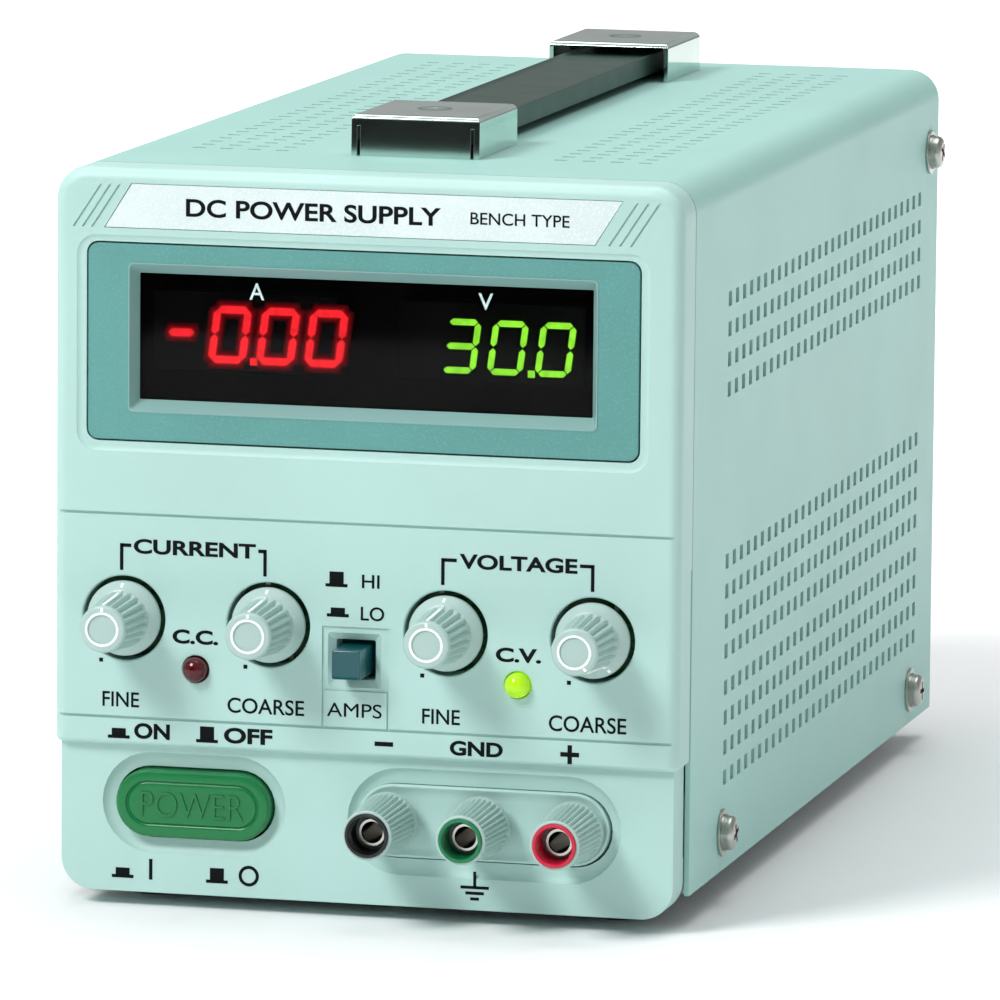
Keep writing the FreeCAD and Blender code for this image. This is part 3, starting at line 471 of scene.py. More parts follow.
def turned(profile, x, z, steps=64, closed=False):
    """Turn a row of (radius, place along Y) points about the Y axis through x, z."""
    bm = bmesh.new()
    verts = [bm.verts.new((radius, depth, 0)) for radius, depth in profile]
    pairs = list(zip(verts, verts[1:])) + ([(verts[-1], verts[0])] if closed else [])
    for first, second in pairs:
        bm.edges.new((first, second))
    bmesh.ops.spin(bm, geom=bm.verts[:] + bm.edges[:], cent=(0, 0, 0), axis=(0, 1, 0),
                   angle=TURN, steps=steps, use_merge=True)
    bmesh.ops.remove_doubles(bm, verts=bm.verts, dist=1e-4)
    bmesh.ops.recalc_face_normals(bm, faces=bm.faces)
    bmesh.ops.translate(bm, vec=(x, 0, z), verts=bm.verts)
    return bm


def together(shapes):
    """Several shapes as one."""
    whole = bmesh.new()
    for shape in shapes:
        mesh = bpy.data.meshes.new("part")
        shape.to_mesh(mesh)
        shape.free()
        whole.from_mesh(mesh)
        bpy.data.meshes.remove(mesh)
    return whole


def moved(bm, place):
    bmesh.ops.transform(bm, matrix=place, verts=bm.verts)
    return bm


def scratch_object(bm):
    mesh = bpy.data.meshes.new("scratch")
    bm.to_mesh(mesh)
    bm.free()
    item = bpy.data.objects.new("scratch", mesh)
    bpy.context.scene.collection.objects.link(item)
    return item


def carve(bm, tools, operation="DIFFERENCE"):
    """Cut closed shapes out of another, or join them to it."""
    base = scratch_object(bm)
    cutters = [scratch_object(tool) for tool in tools]
    for cutter in cutters:
        modifier = base.modifiers.new("carve", "BOOLEAN")
        modifier.operation = operation
        modifier.object = cutter
        modifier.solver = "EXACT"
    shaped = base.evaluated_get(bpy.context.evaluated_depsgraph_get()).to_mesh()
    result = bmesh.new()
    result.from_mesh(shaped)
    for item in [base, *cutters]:
        mesh = item.data
        bpy.data.objects.remove(item)
        bpy.data.meshes.remove(mesh)
    bmesh.ops.remove_doubles(result, verts=result.verts, dist=1e-3)
    return result


def soften(bm, width, segments=2, angle=30, where=None):
    """Round the sharp edges, or those of them that pass a test on their middle."""
    sharp = []
    for edge in bm.edges:
        if not edge.is_manifold or edge.calc_face_angle(0) < math.radians(angle):
            continue
        middle = (edge.verts[0].co + edge.verts[1].co) / 2
        if where is None or where(middle, edge):
            sharp.append(edge)
    bmesh.ops.bevel(bm, geom=sharp, offset=width, offset_type="OFFSET", segments=segments,
                    profile=0.5, affect="EDGES", clamp_overlap=True, material=-1)
    return bm


def even_shading(mesh, smooth):
    """Corner normals that lean to the larger faces, so that flat areas shade flat."""
    limit = math.cos(math.radians(smooth))
    around = [[] for _ in mesh.vertices]
    for face in mesh.polygons:
        for vert in face.vertices:
            around[vert].append((face.normal.copy(), face.area))
    normals = []
    for face in mesh.polygons:
        own = face.normal.copy()
        for vert in face.vertices:
            total = own * 1e-12
            for normal, area in around[vert]:
                if own.dot(normal) > limit:
                    total += normal * area
            normals.append(total.normalized())
    mesh.normals_split_custom_set(normals)


def piece(name, bm, finish, body="root", stands_for=(), smooth=35):
    """Finish a shape: into metres, shaded smooth, with its material, riding on its body."""
    bmesh.ops.scale(bm, vec=(MM, MM, MM), verts=bm.verts)
    mesh = bpy.data.meshes.new(name)
    bm.to_mesh(mesh)
    bm.free()
    mesh.shade_smooth()
    mesh.set_sharp_from_angle(angle=math.radians(smooth))
    even_shading(mesh, smooth)
    mesh.materials.append(FINISHES[finish].material)
    item = bpy.data.objects.new(name, mesh)
    bpy.context.scene.collection.objects.link(item)
    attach(item, body)
    if stands_for:
        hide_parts(*stands_for)


def copied(node):
    """A merged copy of a CAD node's mesh, in millimetres, with flat faces made whole."""
    bm = bmesh.new()
    bm.from_mesh(NODES[node].data)
    bmesh.ops.scale(bm, vec=(1 / MM, 1 / MM, 1 / MM), verts=bm.verts)
    bmesh.ops.remove_doubles(bm, verts=bm.verts, dist=2e-3)
    bmesh.ops.dissolve_limit(bm, angle_limit=math.radians(0.5), verts=bm.verts, edges=bm.edges)
    return bm


def refined(node, name, finish, width=0.3, segments=2):
    """A CAD node with its edges broken and its curves shaded smooth."""
    bm = soften(copied(node), width, segments)
    piece(name, bm, finish, NODES[node]["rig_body"], (node,))


def lettering(text, left, right, bottom, top, depth, weight, raised=PRINT):
    """Flat letters that fill a rectangle on the front, as a shape."""
    curve = bpy.data.curves.new("letters", "FONT")
    curve.body = text
    curve.offset = weight
    curve.extrude = 0.5
    curve.resolution_u = 6
    item = bpy.data.objects.new("letters", curve)
    bpy.context.scene.collection.objects.link(item)
    bpy.context.view_layer.update()
    mesh = bpy.data.meshes.new_from_object(item.evaluated_get(
        bpy.context.evaluated_depsgraph_get()))
    bm = bmesh.new()
    bm.from_mesh(mesh)
    bpy.data.objects.remove(item)
    bpy.data.curves.remove(curve)
    bpy.data.meshes.remove(mesh)
    bmesh.ops.remove_doubles(bm, verts=bm.verts, dist=1e-5)
    first = Vector(min(vert.co[axis] for vert in bm.verts) for axis in range(3))
    last = Vector(max(vert.co[axis] for vert in bm.verts) for axis in range(3))
    size = last - first
    fit = Matrix.Diagonal(((right - left) / size.x, (top - bottom) / size.y, raised / size.z, 1))
    stand = Matrix.Rotation(math.pi / 2, 4, "X")
    bm = moved(bm, Matrix.Translation((left, depth, bottom)) @ stand @ fit
               @ Matrix.Translation(-first))
    return bm


def bar(left, right, bottom, top, depth):
    """A printed rectangle on the front."""
    return block((left, depth - PRINT, bottom), (right, depth, top))


# ------------------------------------------------------------------ front moulding

DISPLAY_X = centre("display_window").x
REBATE = (DISPLAY_X - 58.0, DISPLAY_X + 58.0, BASE + 89.5, BASE + 131.9)
POWER = centre("power_button")
POWER_SIZE = high("power_button") - low("power_button")
PLATE = centre("post_plate")
PLATE_SIZE = high("post_plate") - low("post_plate")
RANGE = centre("range_button")
LEAN = 5.6


def grown(outline_of, steps):
    """A solid through one outline, given as (growth, place along Y) pairs."""
    return loft([(outline_of(growth), depth) for growth, depth in steps])


def rounded_hole(radius, x, z, face, lip):
    """Cutter for a round hole with a soft lip at the face."""
    lips = [(radius + lip * (1 - math.sin(step * math.pi / 8)),
             face + lip * (1 - math.cos(step * math.pi / 8))) for step in range(5)]
    return turned([(0, face - 1), (radius + lip, face - 1), *lips, (radius, BEZEL_BACK + PAST),
                   (0, BEZEL_BACK + PAST)], x, z, 64)


def dish(x, z, width, height, hole_width, hole_height, depth):
    """Cutter for a soft hollow that runs down to a stadium-shaped hole."""
    steps = [(1.2, -1.0), (1.0, 0.0), (0.9, 0.28), (0.72, 0.62), (0.45, 0.88), (0.0, 1.0)]
    rings = []
    for share, fall in steps:
        size = (hole_width + (width - hole_width) * share,
                hole_height + (height - hole_height) * share)
        rings.append((stadium(x, z, *size), LOWER_FACE + depth * fall))
    rings.append((stadium(x, z, hole_width, hole_height), BEZEL_BACK + PAST))
    return loft(rings)


def bezel_blank():
    """Upper block and recessed lower block, joined, with their outer edges rounded."""
    upper = loft([(rounded(-HALF, HALF, BASE + STEP_RISE - 10, BEZEL_TOP, CORNER, 10), FACE),
                  (rounded(-HALF, HALF, BASE + STEP_RISE - 10, BEZEL_TOP, CORNER, 10),
                   BEZEL_BACK)])
    upper = carve(upper, [block((-HALF - PAST, FACE - PAST, BASE),
                                (HALF + PAST, BEZEL_BACK + PAST, BASE + STEP_RISE))])
    soften(upper, 2.6, 6, 30, lambda middle, edge: middle.y < FACE + 0.01
           and middle.z > BASE + STEP_RISE + 0.5)
    soften(upper, 1.1, 4, 30, lambda middle, edge: abs(middle.z - BASE - STEP_RISE) < 0.01
           and middle.y < BEZEL_BACK - 1)
    narrow = HALF - LOWER_INSET
    outline = rounded(-narrow, narrow, BASE, BASE + STEP_RISE + 12, CORNER, 10)
    lower = loft([(outline, LOWER_FACE), (outline, BEZEL_BACK)])
    soften(lower, 2.0, 5, 30, lambda middle, edge: middle.y < LOWER_FACE + 0.01
           and middle.z < BASE + STEP_RISE)
    lower = carve(lower, [block((-HALF - PAST, FACE - PAST, BASE + STEP_RISE + 3),
                                (HALF + PAST, BEZEL_BACK + PAST, BASE + STEP_RISE + 30))])
    return carve(upper, [lower], "UNION")


def slant(left, width, bottom, top, deep):
    """A leaning cutter in the front face."""
    return loft([([(left, bottom), (left + width, bottom), (left + width + LEAN, top),
                   (left + LEAN, top)], depth) for depth in (FACE - LEAD, FACE + deep)])


def range_recess():
    """Cutters for the sunken patch and funnel of the range button, and two lines below."""
    left, right = RANGE.x - 6.6, RANGE.x + 7.1
    patch = block((left, FACE - LEAD, BASE + 43.1), (right, FACE + 0.35, BASE + 56))
    size = 3.95
    funnel = grown(lambda growth: rounded(RANGE.x - size - growth, RANGE.x + size + growth,
                                          RANGE.z - size - growth, RANGE.z + size + growth,
                                          0.5, 3),
                   [(1.5, FACE - LEAD), (1.5, FACE + 0.35), (0.1, FACE + 1.5), (0.0, FACE + 2.0),
                    (0.0, BEZEL_BACK + PAST)])
    lines = [block((x, FACE - LEAD, BASE + GROOVE_RISES[0]), (x + 0.4, FACE + 0.35, BASE + 43.2))
             for x in (left, right - 0.4)]
    return [patch, funnel, *lines]


# Left ends of the slanting lines at both ends of the badge.
BADGE_LINES = (-60.2, -58.3, -56.4, 48.9, 51.1, 53.3)
# The stretch of the side seam that is open.
SEAM_RISES = (11.4, 68.9)


def tray_hollow():
    """Cutter that leaves the moulding as a shallow tray, open at the back."""
    side = HALF - BEZEL_WALL - LOWER_INSET
    outline = rounded(-side, side, BASE + BEZEL_WALL, BEZEL_TOP - BEZEL_WALL, 4.0)
    return loft([(outline, depth) for depth in (FACE + 6.0, BEZEL_BACK + PAST)])


def grooves():
    reach = HALF - 1.2
    return [block((-reach, FACE - LEAD, BASE + rise),
                  (reach, FACE + GROOVE_DEPTH, BASE + rise + GROOVE_WIDTH))
            for rise in GROOVE_RISES]


def display_seat():
    """Cutters for the shallow rebate round the display and the hole for its surround."""
    left, right, bottom, top = REBATE
    rebate = grown(lambda growth: rounded(left - growth, right + growth, bottom - growth,
                                          top + growth, 3.6 + growth, 8),
                   [(0.4, FACE - LEAD), (0.4, FACE), (0.15, FACE + 0.25), (-0.6, FACE + 0.55)])
    first, last = low("display_surround"), high("display_surround")
    gap = 0.35
    hole = rounded(first.x - gap, last.x + gap, first.z - gap, last.z + gap, 2.4, 6)
    return [rebate, loft([(hole, depth) for depth in (FACE - LEAD, BEZEL_BACK + PAST)])]


def badge_seat():
    """Cutters for the badge's seat and for the slanting lines beside it."""
    first, last = low("badge_plate"), high("badge_plate")
    cutters = [slant(first.x - 0.15, last.x - first.x - LEAN + 0.3, first.z - 0.1,
                     last.z + 0.1, 0.6)]
    for start in BADGE_LINES:
        cutters.append(slant(start, 0.45, BASE + 133.8, BASE + 142.3, 0.4))
    return cutters


def control_holes():
    """Cutters for knobs, lamps, both push buttons and the post plate."""
    cutters = []
    for name in KNOBS:
        spot = centre(name + "_shaft")
        cutters.append(rounded_hole(8.5, spot.x, spot.z, FACE, 0.45))
    for name in ("current_lamp", "voltage_lamp"):
        spot = centre(name)
        cutters.append(rounded_hole(2.75, spot.x, spot.z, FACE, 0.25))
    cutters += range_recess()
    cutters.append(dish(POWER.x, POWER.z, 38.0, 20.4, POWER_SIZE.x + 0.9, POWER_SIZE.z + 0.9,
                        1.3))
    cutters.append(dish(PLATE.x + 0.4, PLATE.z, 56.0, 21.6, PLATE_SIZE.x + 0.3,
                        PLATE_SIZE.z + 0.3, 1.1))
    return cutters


def seam_notches():
    """Cutters that open the seam towards the cover on both sides."""
    bottom, top = SEAM_RISES
    return [block((side * (HALF - 1.2), BEZEL_BACK - 0.7, BASE + bottom),
                  (side * (HALF + 2.0), BEZEL_BACK + 2.0, BASE + top)) for side in (-1, 1)]


def front_bezel():
    """The whole moulded front, with its hollows, grooves and holes."""
    cutters = [tray_hollow(), *grooves(), *display_seat(), *badge_seat(), *control_holes(),
               *seam_notches()]
    piece("bezel_shell", carve(bezel_blank(), cutters), "panel", "root",
          ("front_bezel",), 32)


def badge():
    """Name strip with a plain descriptive legend."""
    first, last = low("badge_plate"), high("badge_plate")
    width = last.x - first.x - LEAN
    strip = loft([([(first.x, first.z), (first.x + width, first.z), (last.x, last.z),
                    (first.x + LEAN, last.z)], depth) for depth in (FACE + 0.12, FACE + 0.6)])
    piece("badge_strip", soften(strip, 0.08, 1), "badge", "root",
          ("badge_plate",))
    middle = (first.z + last.z) / 2
    words = [lettering("DC POWER SUPPLY", DISPLAY_X - 36, DISPLAY_X + 16, middle - 1.8,
                       middle + 1.8, FACE + 0.12, 0.022)]
    words.append(lettering("BENCH TYPE", DISPLAY_X + 22, DISPLAY_X + 42, middle - 1.2,
                           middle + 1.2, FACE + 0.12, 0.006))
    piece("badge_legend", together(words), "ink", "root")


def display():
    """Surround with its sloping inner frame, window, digit blocks and unit letters."""
    first, last = low("display_surround"), high("display_surround")
    face = first.y
    hole = (low("display_window").x + 3.0, high("display_window").x - 3.0,
            low("display_window").z + 3.0, high("display_window").z - 3.0)

    def opening(side, rise):
        return rounded(hole[0] - side, hole[1] + side, hole[2] - rise, hole[3] + rise,
                       0.3 + side * 0.5, 4)

    plate = loft([(rounded(first.x, last.x, first.z, last.z, 2.1, 6), depth)
                  for depth in (face, last.y)])
    soften(plate, 0.25, 2)
    plate = carve(plate, [loft([(opening(1.6, 2.3), face - 1), (opening(1.6, 2.3), last.y + 1)])])
    piece("surround_plate", plate, "surround", "root", ("display_surround",))
    rings = [(opening(1.58, 2.28), last.y), (opening(1.58, 2.28), face - 0.12),
             (opening(1.35, 2.05), face - 0.12), (opening(0.0, 0.0), last.y - 0.25),
             (opening(0.0, 0.0), last.y)]
    piece("window_slope", loft(rings, True), "bevel", "root", (), 25)
    refined("display_window", "window_pane", "window", 0.2, 1)
    for node, name in (("ammeter_digits", "ammeter_block"), ("voltmeter_digits",
                                                             "voltmeter_block")):
        refined(node, name, "digit_block",
                0.4)
    letters = [lettering("A", -24.7, -21.7, BASE + 120.0, BASE + 123.3, WINDOW_FACE, 0.006),
               lettering("V", 22.0, 25.0, BASE + 119.8, BASE + 123.1, WINDOW_FACE, 0.006)]
    piece("unit_letters", together(letters), "window_ink", "root")


# The seven bars of a digit: which two of its six corners each joins.
BARS = {"a": (0, 1), "b": (1, 3), "c": (3, 5), "d": (4, 5), "e": (2, 4), "f": (0, 2), "g": (2, 3)}
SHAPES = {"0": "abcdef", "3": "abcdg", "-": "g"}
# How far a digit leans to the right for each millimetre of height.
DIGIT_LEAN = 0.13


def digit(kind, x, z, wide, tall, stroke, depth, grow=0.0, split=0.02):
    """Lit bars of one leaning seven-segment digit, with a split at each corner."""
    corners = [Vector((side * wide / 2, 0, level * tall / 2))
               for level in (1, 0, -1) for side in (-1, 1)]
    shapes = []
    for name in SHAPES[kind]:
        start, end = (corners[index] for index in BARS[name])
        run = (end - start).normalized()
        across = Vector((run.z, 0, -run.x)) * (stroke / 2 + grow)
        gap = run * (split - grow)
        tip = run * (stroke / 2)
        rim = [start + gap, start + gap + tip + across, end - gap - tip + across, end - gap,
               end - gap - tip - across, start + gap + tip - across]
        outline = [(point.x, point.z) for point in rim]
        shapes.append(loft([(outline, 0.0), (outline, 0.08)]))
    whole = together(shapes)
    lean = Matrix.Identity(4)
    lean[0][2] = DIGIT_LEAN
    return moved(whole, Matrix.Translation((x, depth, z)) @ lean)


def point(x, z, size, depth):
    return block((x - size / 2, depth, z - size / 2), (x + size / 2, depth + 0.08, z + size / 2))


def ammeter_reading(mid, depth, grow=0.0):
    """A minus sign and three zeros, with every bar widened by the growth."""
    shapes = [digit("-", -39.2, mid, 5.4, 11.0, 1.6, depth, grow)]
    for x in (-29.2, -19.3, -9.4):
        shapes.append(digit("0", x, mid - 0.1, 6.3, 10.0, 1.5, depth, grow))
    return shapes


def digits():
    """The two readings, with a painted red glow in three widened layers behind the ammeter's bars,
    standing in for their light spreading round them.
    """
    depth = low("ammeter_digits").y - 0.25
    mid = BASE + 112.7
    red = [*ammeter_reading(mid, depth), point(-24.3, mid - 5.3, 1.5, depth)]
    piece("red_segments", together(red), "red_light", "root")
    # Painted glow: each layer wider and dimmer than the last, behind the lit bars.
    for layer, grow in enumerate((0.35, 0.7, 1.1)):
        glow_layer = ammeter_reading(mid, depth + 0.03 * (layer + 1), grow)
        name = "red_haze_%d" % layer
        piece(name, together(glow_layer), name, "root")
    mid = BASE + 112.2
    green = [digit(kind, x, mid, 6.0, 9.6, 1.25, depth, 0.0, 0.16)
             for kind, x in (("3", 18.0), ("0", 27.6), ("0", 37.3))]
    green.append(point(32.4, mid - 5.0, 1.4, depth))
    piece("green_segments", together(green), "green_light", "root")


# ------------------------------------------------------------------ legends

def push_mark(x, bottom, tall, depth):
    """Push-switch picture: a button block, tall when out, on its base line."""
    return [bar(x - 1.45, x + 1.45, bottom + 0.55, bottom + 0.55 + tall, depth),
            bar(x - 2.25, x + 2.25, bottom, bottom + 0.65, depth)]


def bracket(inner, outer, depth):
    """Line from a heading out to a knob and down towards it."""
    level = BASE + 70.3
    left, right = sorted((inner, outer))
    side = (outer - 0.35, outer + 0.35)
    return [bar(left, right, level - 0.35, level + 0.35, depth),
            bar(*side, BASE + 65.3, level + 0.35, depth)]


def plus_mark(x, z, reach, half, depth):
    """Plus sign as one outline."""
    quarter = [(half, reach), (half, half), (reach, half)]
    outline = []
    for _ in range(4):
        for across, up in quarter:
            outline.append((x + across, z + up))
        quarter = [(up, -across) for across, up in quarter]
    return loft([(outline, depth - PRINT), (outline, depth)])


def ring_mark(x, z, radius, width, depth):
    profile = [(radius - width, depth - PRINT), (radius, depth - PRINT), (radius, depth),
               (radius - width, depth)]
    return turned(profile, x, z, 40, True)


def upper_legends():
    """Words and marks on the upper panel, in one ink."""
    face = FACE
    marks = []
    words = (("CURRENT", -47.4, -22.2, 68.7, 71.7, 0.03), ("VOLTAGE", 19.5, 43.4, 68.7, 71.7, 0.03),
             ("C.C.", -39.3, -29.9, 51.0, 53.9, 0.035), ("C.V.", 27.0, 36.2, 50.5, 53.4, 0.035),
             ("FINE", -53.8, -46.2, 37.7, 40.7, 0.01),
             ("COARSE", -27.9, -12.1, 37.6, 40.7, 0.01),
             ("FINE", 12.1, 19.8, 37.4, 40.4, 0.01),
             ("COARSE", 37.9, 53.6, 37.2, 40.4, 0.01),
             ("HI", -0.4, 3.2, 63.9, 66.6, 0.01), ("LO", -0.6, 4.2, 57.4, 60.2, 0.01),
             ("AMPS", -7.4, 3.8, 37.9, 40.7, 0.0),
             ("ON", -47.2, -39.8, 31.4, 34.6, 0.035), ("OFF", -28.6, -18.6, 31.4, 34.6, 0.035),
             ("GND", 17.8, 28.6, 31.3, 34.3, 0.035))
    for text, left, right, bottom, top, weight in words:
        marks.append(lettering(text, left, right, BASE + bottom, BASE + top, face, weight))
    marks += bracket(-47.9, -49.9, face) + bracket(-21.7, -20.3, face)
    marks += bracket(18.9, 16.1, face) + bracket(43.9, 46.5, face)
    marks += push_mark(-5.6, BASE + 63.9, 2.5, face) + push_mark(-5.3, BASE + 57.9, 1.3, face)
    marks += push_mark(-50.4, BASE + 31.3, 1.5, face) + push_mark(-32.1, BASE + 31.3, 2.7, face)
    marks.append(bar(2.4, 6.2, BASE + 32.4, BASE + 33.3, face))
    marks.append(plus_mark(42.2, BASE + 32.65, 1.9, 0.45, face))
    for name in KNOBS:
        spot = centre(name + "_shaft")
        marks.append(bar(spot.x - 5.1, spot.x - 4.3, spot.z - 9.0, spot.z - 8.2, face))
    piece("panel_legends", together(marks), "ink", "root")


def lower_legends():
    """Switch state marks and the earth mark on the recessed lower panel."""
    face = LOWER_FACE
    marks = push_mark(-50.1, BASE + 2.7, 1.5, face) + push_mark(-30.5, BASE + 2.6, 2.5, face)
    marks.append(bar(-44.6, -43.9, BASE + 2.6, BASE + 6.8, face))
    marks.append(ring_mark(-23.9, BASE + 4.4, 2.1, 0.65, face))
    middle, level = 22.6, BASE + 4.6
    marks.append(bar(middle - 0.3, middle + 0.3, level, level + 3.2, face))
    for step, reach in enumerate((2.9, 1.9, 0.9)):
        drop = level - 1.15 * step
        marks.append(bar(middle - reach, middle + reach, drop - 0.3, drop + 0.3, face))
    piece("switch_legends", together(marks), "ink", "root")


# ------------------------------------------------------------------ controls

def fluted_body(first, last, start, end, depth, flutes):
    """Tapering body with rounded flutes and flat ends, about the Y axis."""
    bm = bmesh.new()
    loops = []
    around = flutes * 6
    wave = (0.0, 0.15, 0.7, 1.0, 0.7, 0.15)
    for share in (0.0, 0.06, 0.5, 0.94, 1.0):
        radius = first + (last - first) * share
        place = start + (end - start) * share
        bite = depth * (0.0 if share in (0.0, 1.0) else 1.0)
        made = bmesh.ops.create_circle(bm, segments=around, radius=radius,
                                       matrix=Matrix.Translation((0, place, 0))
                                       @ Matrix.Rotation(math.pi / 2, 4, "X"))["verts"]
        for index, vert in enumerate(made):
            inward = Vector((vert.co.x, 0, vert.co.z)).normalized()
            vert.co -= inward * bite * wave[index % 6]
        loops.append([bm.edges.get((vert, made[index - 1])) for index, vert in enumerate(made)])
    for one, two in zip(loops, loops[1:]):
        bmesh.ops.bridge_loops(bm, edges=one + two)
    bmesh.ops.contextual_create(bm, geom=loops[-1])
    bmesh.ops.contextual_create(bm, geom=loops[0])
    bmesh.ops.recalc_face_normals(bm, faces=bm.faces)
    return bm


# Half the width of a knob's pointer line.
LINE = 0.28


def knob(name, turn):
    """Skirted, fluted knob with a ringed face and a painted pointer line."""
    spot = centre(name + "_shaft")
    tip = low(name + "_knob").y
    skirt = turned([(0, FACE + 0.8), (7.1, FACE + 0.8), (7.55, FACE + 0.4), (7.55, FACE - 0.3),
                    (7.4, FACE - 0.65), (6.9, FACE - 1.2), (6.1, FACE - 2.1),
                    (5.4, FACE - 2.5), (0, FACE - 2.6)], 0, 0, 72)
    body = fluted_body(5.75, 4.75, FACE - 2.3, tip + 1.1, 0.7, 21)
    nose = turned([(0, tip + 1.3), (4.7, tip + 1.3), (4.75, tip + 0.7), (4.5, tip + 0.25),
                   (4.2, tip + 0.12), (3.6, tip + 0.12), (3.45, tip), (2.95, tip),
                   (2.8, tip + 0.3), (1.5, tip + 0.22), (0, tip + 0.2)], 0, 0, 72)
    place = Matrix.Translation((spot.x, 0, spot.z))
    shell = moved(together([skirt, body, nose]), place)
    piece(name + "_knob_shell", shell, "knob", name + "_control",
          (name + "_knob",), 40)
    ring = turned([(2.97, tip - 0.02), (3.43, tip - 0.02), (3.47, tip + 0.06),
                   (2.92, tip + 0.06)], 0, 0, 72, True)
    flat_line = block((-LINE, FACE - 2.62, 5.35), (LINE, FACE - 2.2, 5.95))
    skirt_line = loft([([(-LINE, 5.9), (LINE, 5.9), (LINE, 7.5), (-LINE, 7.5)], FACE - 0.4),
                       ([(-LINE, 5.9), (LINE, 5.9), (LINE, 6.6), (-LINE, 6.6)], FACE - 1.75)])
    body_line = block((-LINE, tip + 0.9, 4.4), (LINE, FACE - 2.4, 4.9))
    for vert in body_line.verts:
        if vert.co.z > 4.6:
            along = (vert.co.y - tip) / (FACE - tip)
            vert.co.z = 4.84 + along * 0.98
    nose_line = block((-LINE, tip + 0.08, 3.6), (LINE, tip + 1.0, 4.6))
    for vert in nose_line.verts:
        if vert.co.y < tip + 0.5 and vert.co.z > 4.3:
            vert.co.z = 4.3
    marks = together([ring, flat_line, skirt_line, body_line, nose_line])
    marks = moved(marks, place @ Matrix.Rotation(turn, 4, "Y"))
    piece(name + "_knob_mark", marks, "knob_mark", name + "_control")


def knobs():
    for name, hours in zip(KNOBS, (0.0, 0.0, 0.0, 4.9)):
        knob(name, hours / 12 * TURN)


def lamps():
    """Domed lamps: one dark red, one lit."""
    for node, finish, slot in (("current_lamp", "red_lens", "red_lamp_lens"),
                               ("voltage_lamp", "green_lens", "green_lamp_lens")):
        spot = centre(node)
        radius = 2.5
        dome = [(radius * math.cos(step * math.pi / 16), FACE - 0.5
                 - radius * 0.9 * math.sin(step * math.pi / 16)) for step in range(9)]
        dome[-1] = (0, dome[-1][1])
        body = turned([(0, high(node).y), (radius, high(node).y), *dome], spot.x, spot.z, 48)
        piece(node + "_dome", body, finish, "root", (node,), 50)


def range_button():
    """Square button of dark clear plastic with a sunken front."""
    first, last = low("range_button"), high("range_button")
    cap = block(first, last)
    front = [face for face in cap.faces if face.normal.y < -0.5]
    for vert in front[0].verts:
        vert.co.x += math.copysign(0.12, RANGE.x - vert.co.x)
        vert.co.z += math.copysign(0.12, RANGE.z - vert.co.z)
    bmesh.ops.inset_region(cap, faces=front, thickness=0.7, depth=-0.25)
    soften(cap, 0.3, 3)
    piece("range_cap", cap, "range_cap", "range_push", ("range_button",))


def power_button():
    """Pill-shaped cap with a raised inner pill and embossed letters."""
    face = low("power_button").y
    back = high("power_button").y

    def pill(growth):
        return stadium(POWER.x, POWER.z, POWER_SIZE.x + 2 * growth, POWER_SIZE.z + 2 * growth, 20)

    cap = grown(pill, [(0, back), (0, face + 0.9), (-0.15, face + 0.45), (-0.5, face + 0.14),
                       (-1.0, face + 0.02), (-1.8, face), (-2.15, face + 0.02),
                       (-2.3, face + 0.3), (-2.5, face + 0.42), (-2.75, face + 0.3),
                       (-2.95, face + 0.06), (-3.3, face)])
    piece("power_cap", cap, "power_cap", "power_push", ("power_button",), 25)
    word = lettering("POWER", POWER.x - 10.6, POWER.x + 10.6, POWER.z - 2.5, POWER.z + 2.5,
                     face + 0.02, -0.012, 0.35)
    piece("power_cap_letters", soften(word, 0.06, 1, 50), "power_cap", "power_push")


# ------------------------------------------------------------------ binding posts

def post_cap(name, spot, collar_finish):
    """Ribbed clamping cap with its coloured collar and the plated socket inside."""
    tip = POST_TIP
    back = high(name + "_cap").y
    body = fluted_body(5.95, 5.0, back - 1.2, tip + 1.0, 0.5, 34)
    mouth = turned([(0, tip - 2), (4.46, tip - 2), (4.46, tip + 7.0), (0, tip + 7.0)], 0, 0, 48)
    bore = turned([(0, tip + 6), (3.0, tip + 6), (3.0, back + 2), (0, back + 2)], 0, 0, 48)
    foot = turned([(0, back - 1.3), (6.0, back - 1.3), (6.1, back - 1.0), (6.1, back - 0.15),
                   (5.9, back), (0, back)], 0, 0, 64)
    lip = turned([(0, tip + 1.15), (5.0, tip + 1.15), (4.98, tip + 0.8), (4.7, tip + 0.55),
                  (0, tip + 0.55)], 0, 0, 64)
    solid = carve(carve(body, [foot, lip], "UNION"), [mouth, bore])
    place = Matrix.Translation((spot.x, 0, spot.z))
    piece(name + "_cap_shell", moved(solid, place), "knob", name + "_head",
          (name + "_cap",), 40)
    collar = turned([(3.62, tip + 0.25), (3.8, tip), (4.25, tip), (4.4, tip + 0.18),
                     (4.4, tip + 6.0), (3.6, tip + 6.0)], spot.x, spot.z, 56, True)
    piece(name + "_collar_ring", collar, collar_finish, name + "_head",
          (name + "_collar",), 30)


def post_stem(name, spot):
    """Plated stem with its socket, a thread along it and a soldering tail."""
    tip = low(name + "_stem").y
    back = high(name + "_stem").y
    plate_face = low("post_plate").y
    pitch = 0.7
    thread = []
    place = tip + 1.2
    while place < plate_face - 2.0:
        thread += [(2.88, place), (2.6, place + pitch * 0.5)]
        place += pitch
    profile = [(2.0, tip + 0.3), (2.2, tip), (2.7, tip), (2.88, tip + 0.25), *thread,
               (2.88, plate_face - 1.6), (4.5, plate_face - 1.6), (4.6, plate_face - 1.5),
               (4.6, plate_face), (2.88, plate_face), (2.88, back - 0.3), (2.6, back), (0, back),
               (0, tip + 19.0), (2.0, tip + 19.0)]
    stem = turned(profile, spot.x, spot.z, 40, True)
    piece(name + "_stem_turned", stem, "nickel", "root", (name + "_stem",), 35)


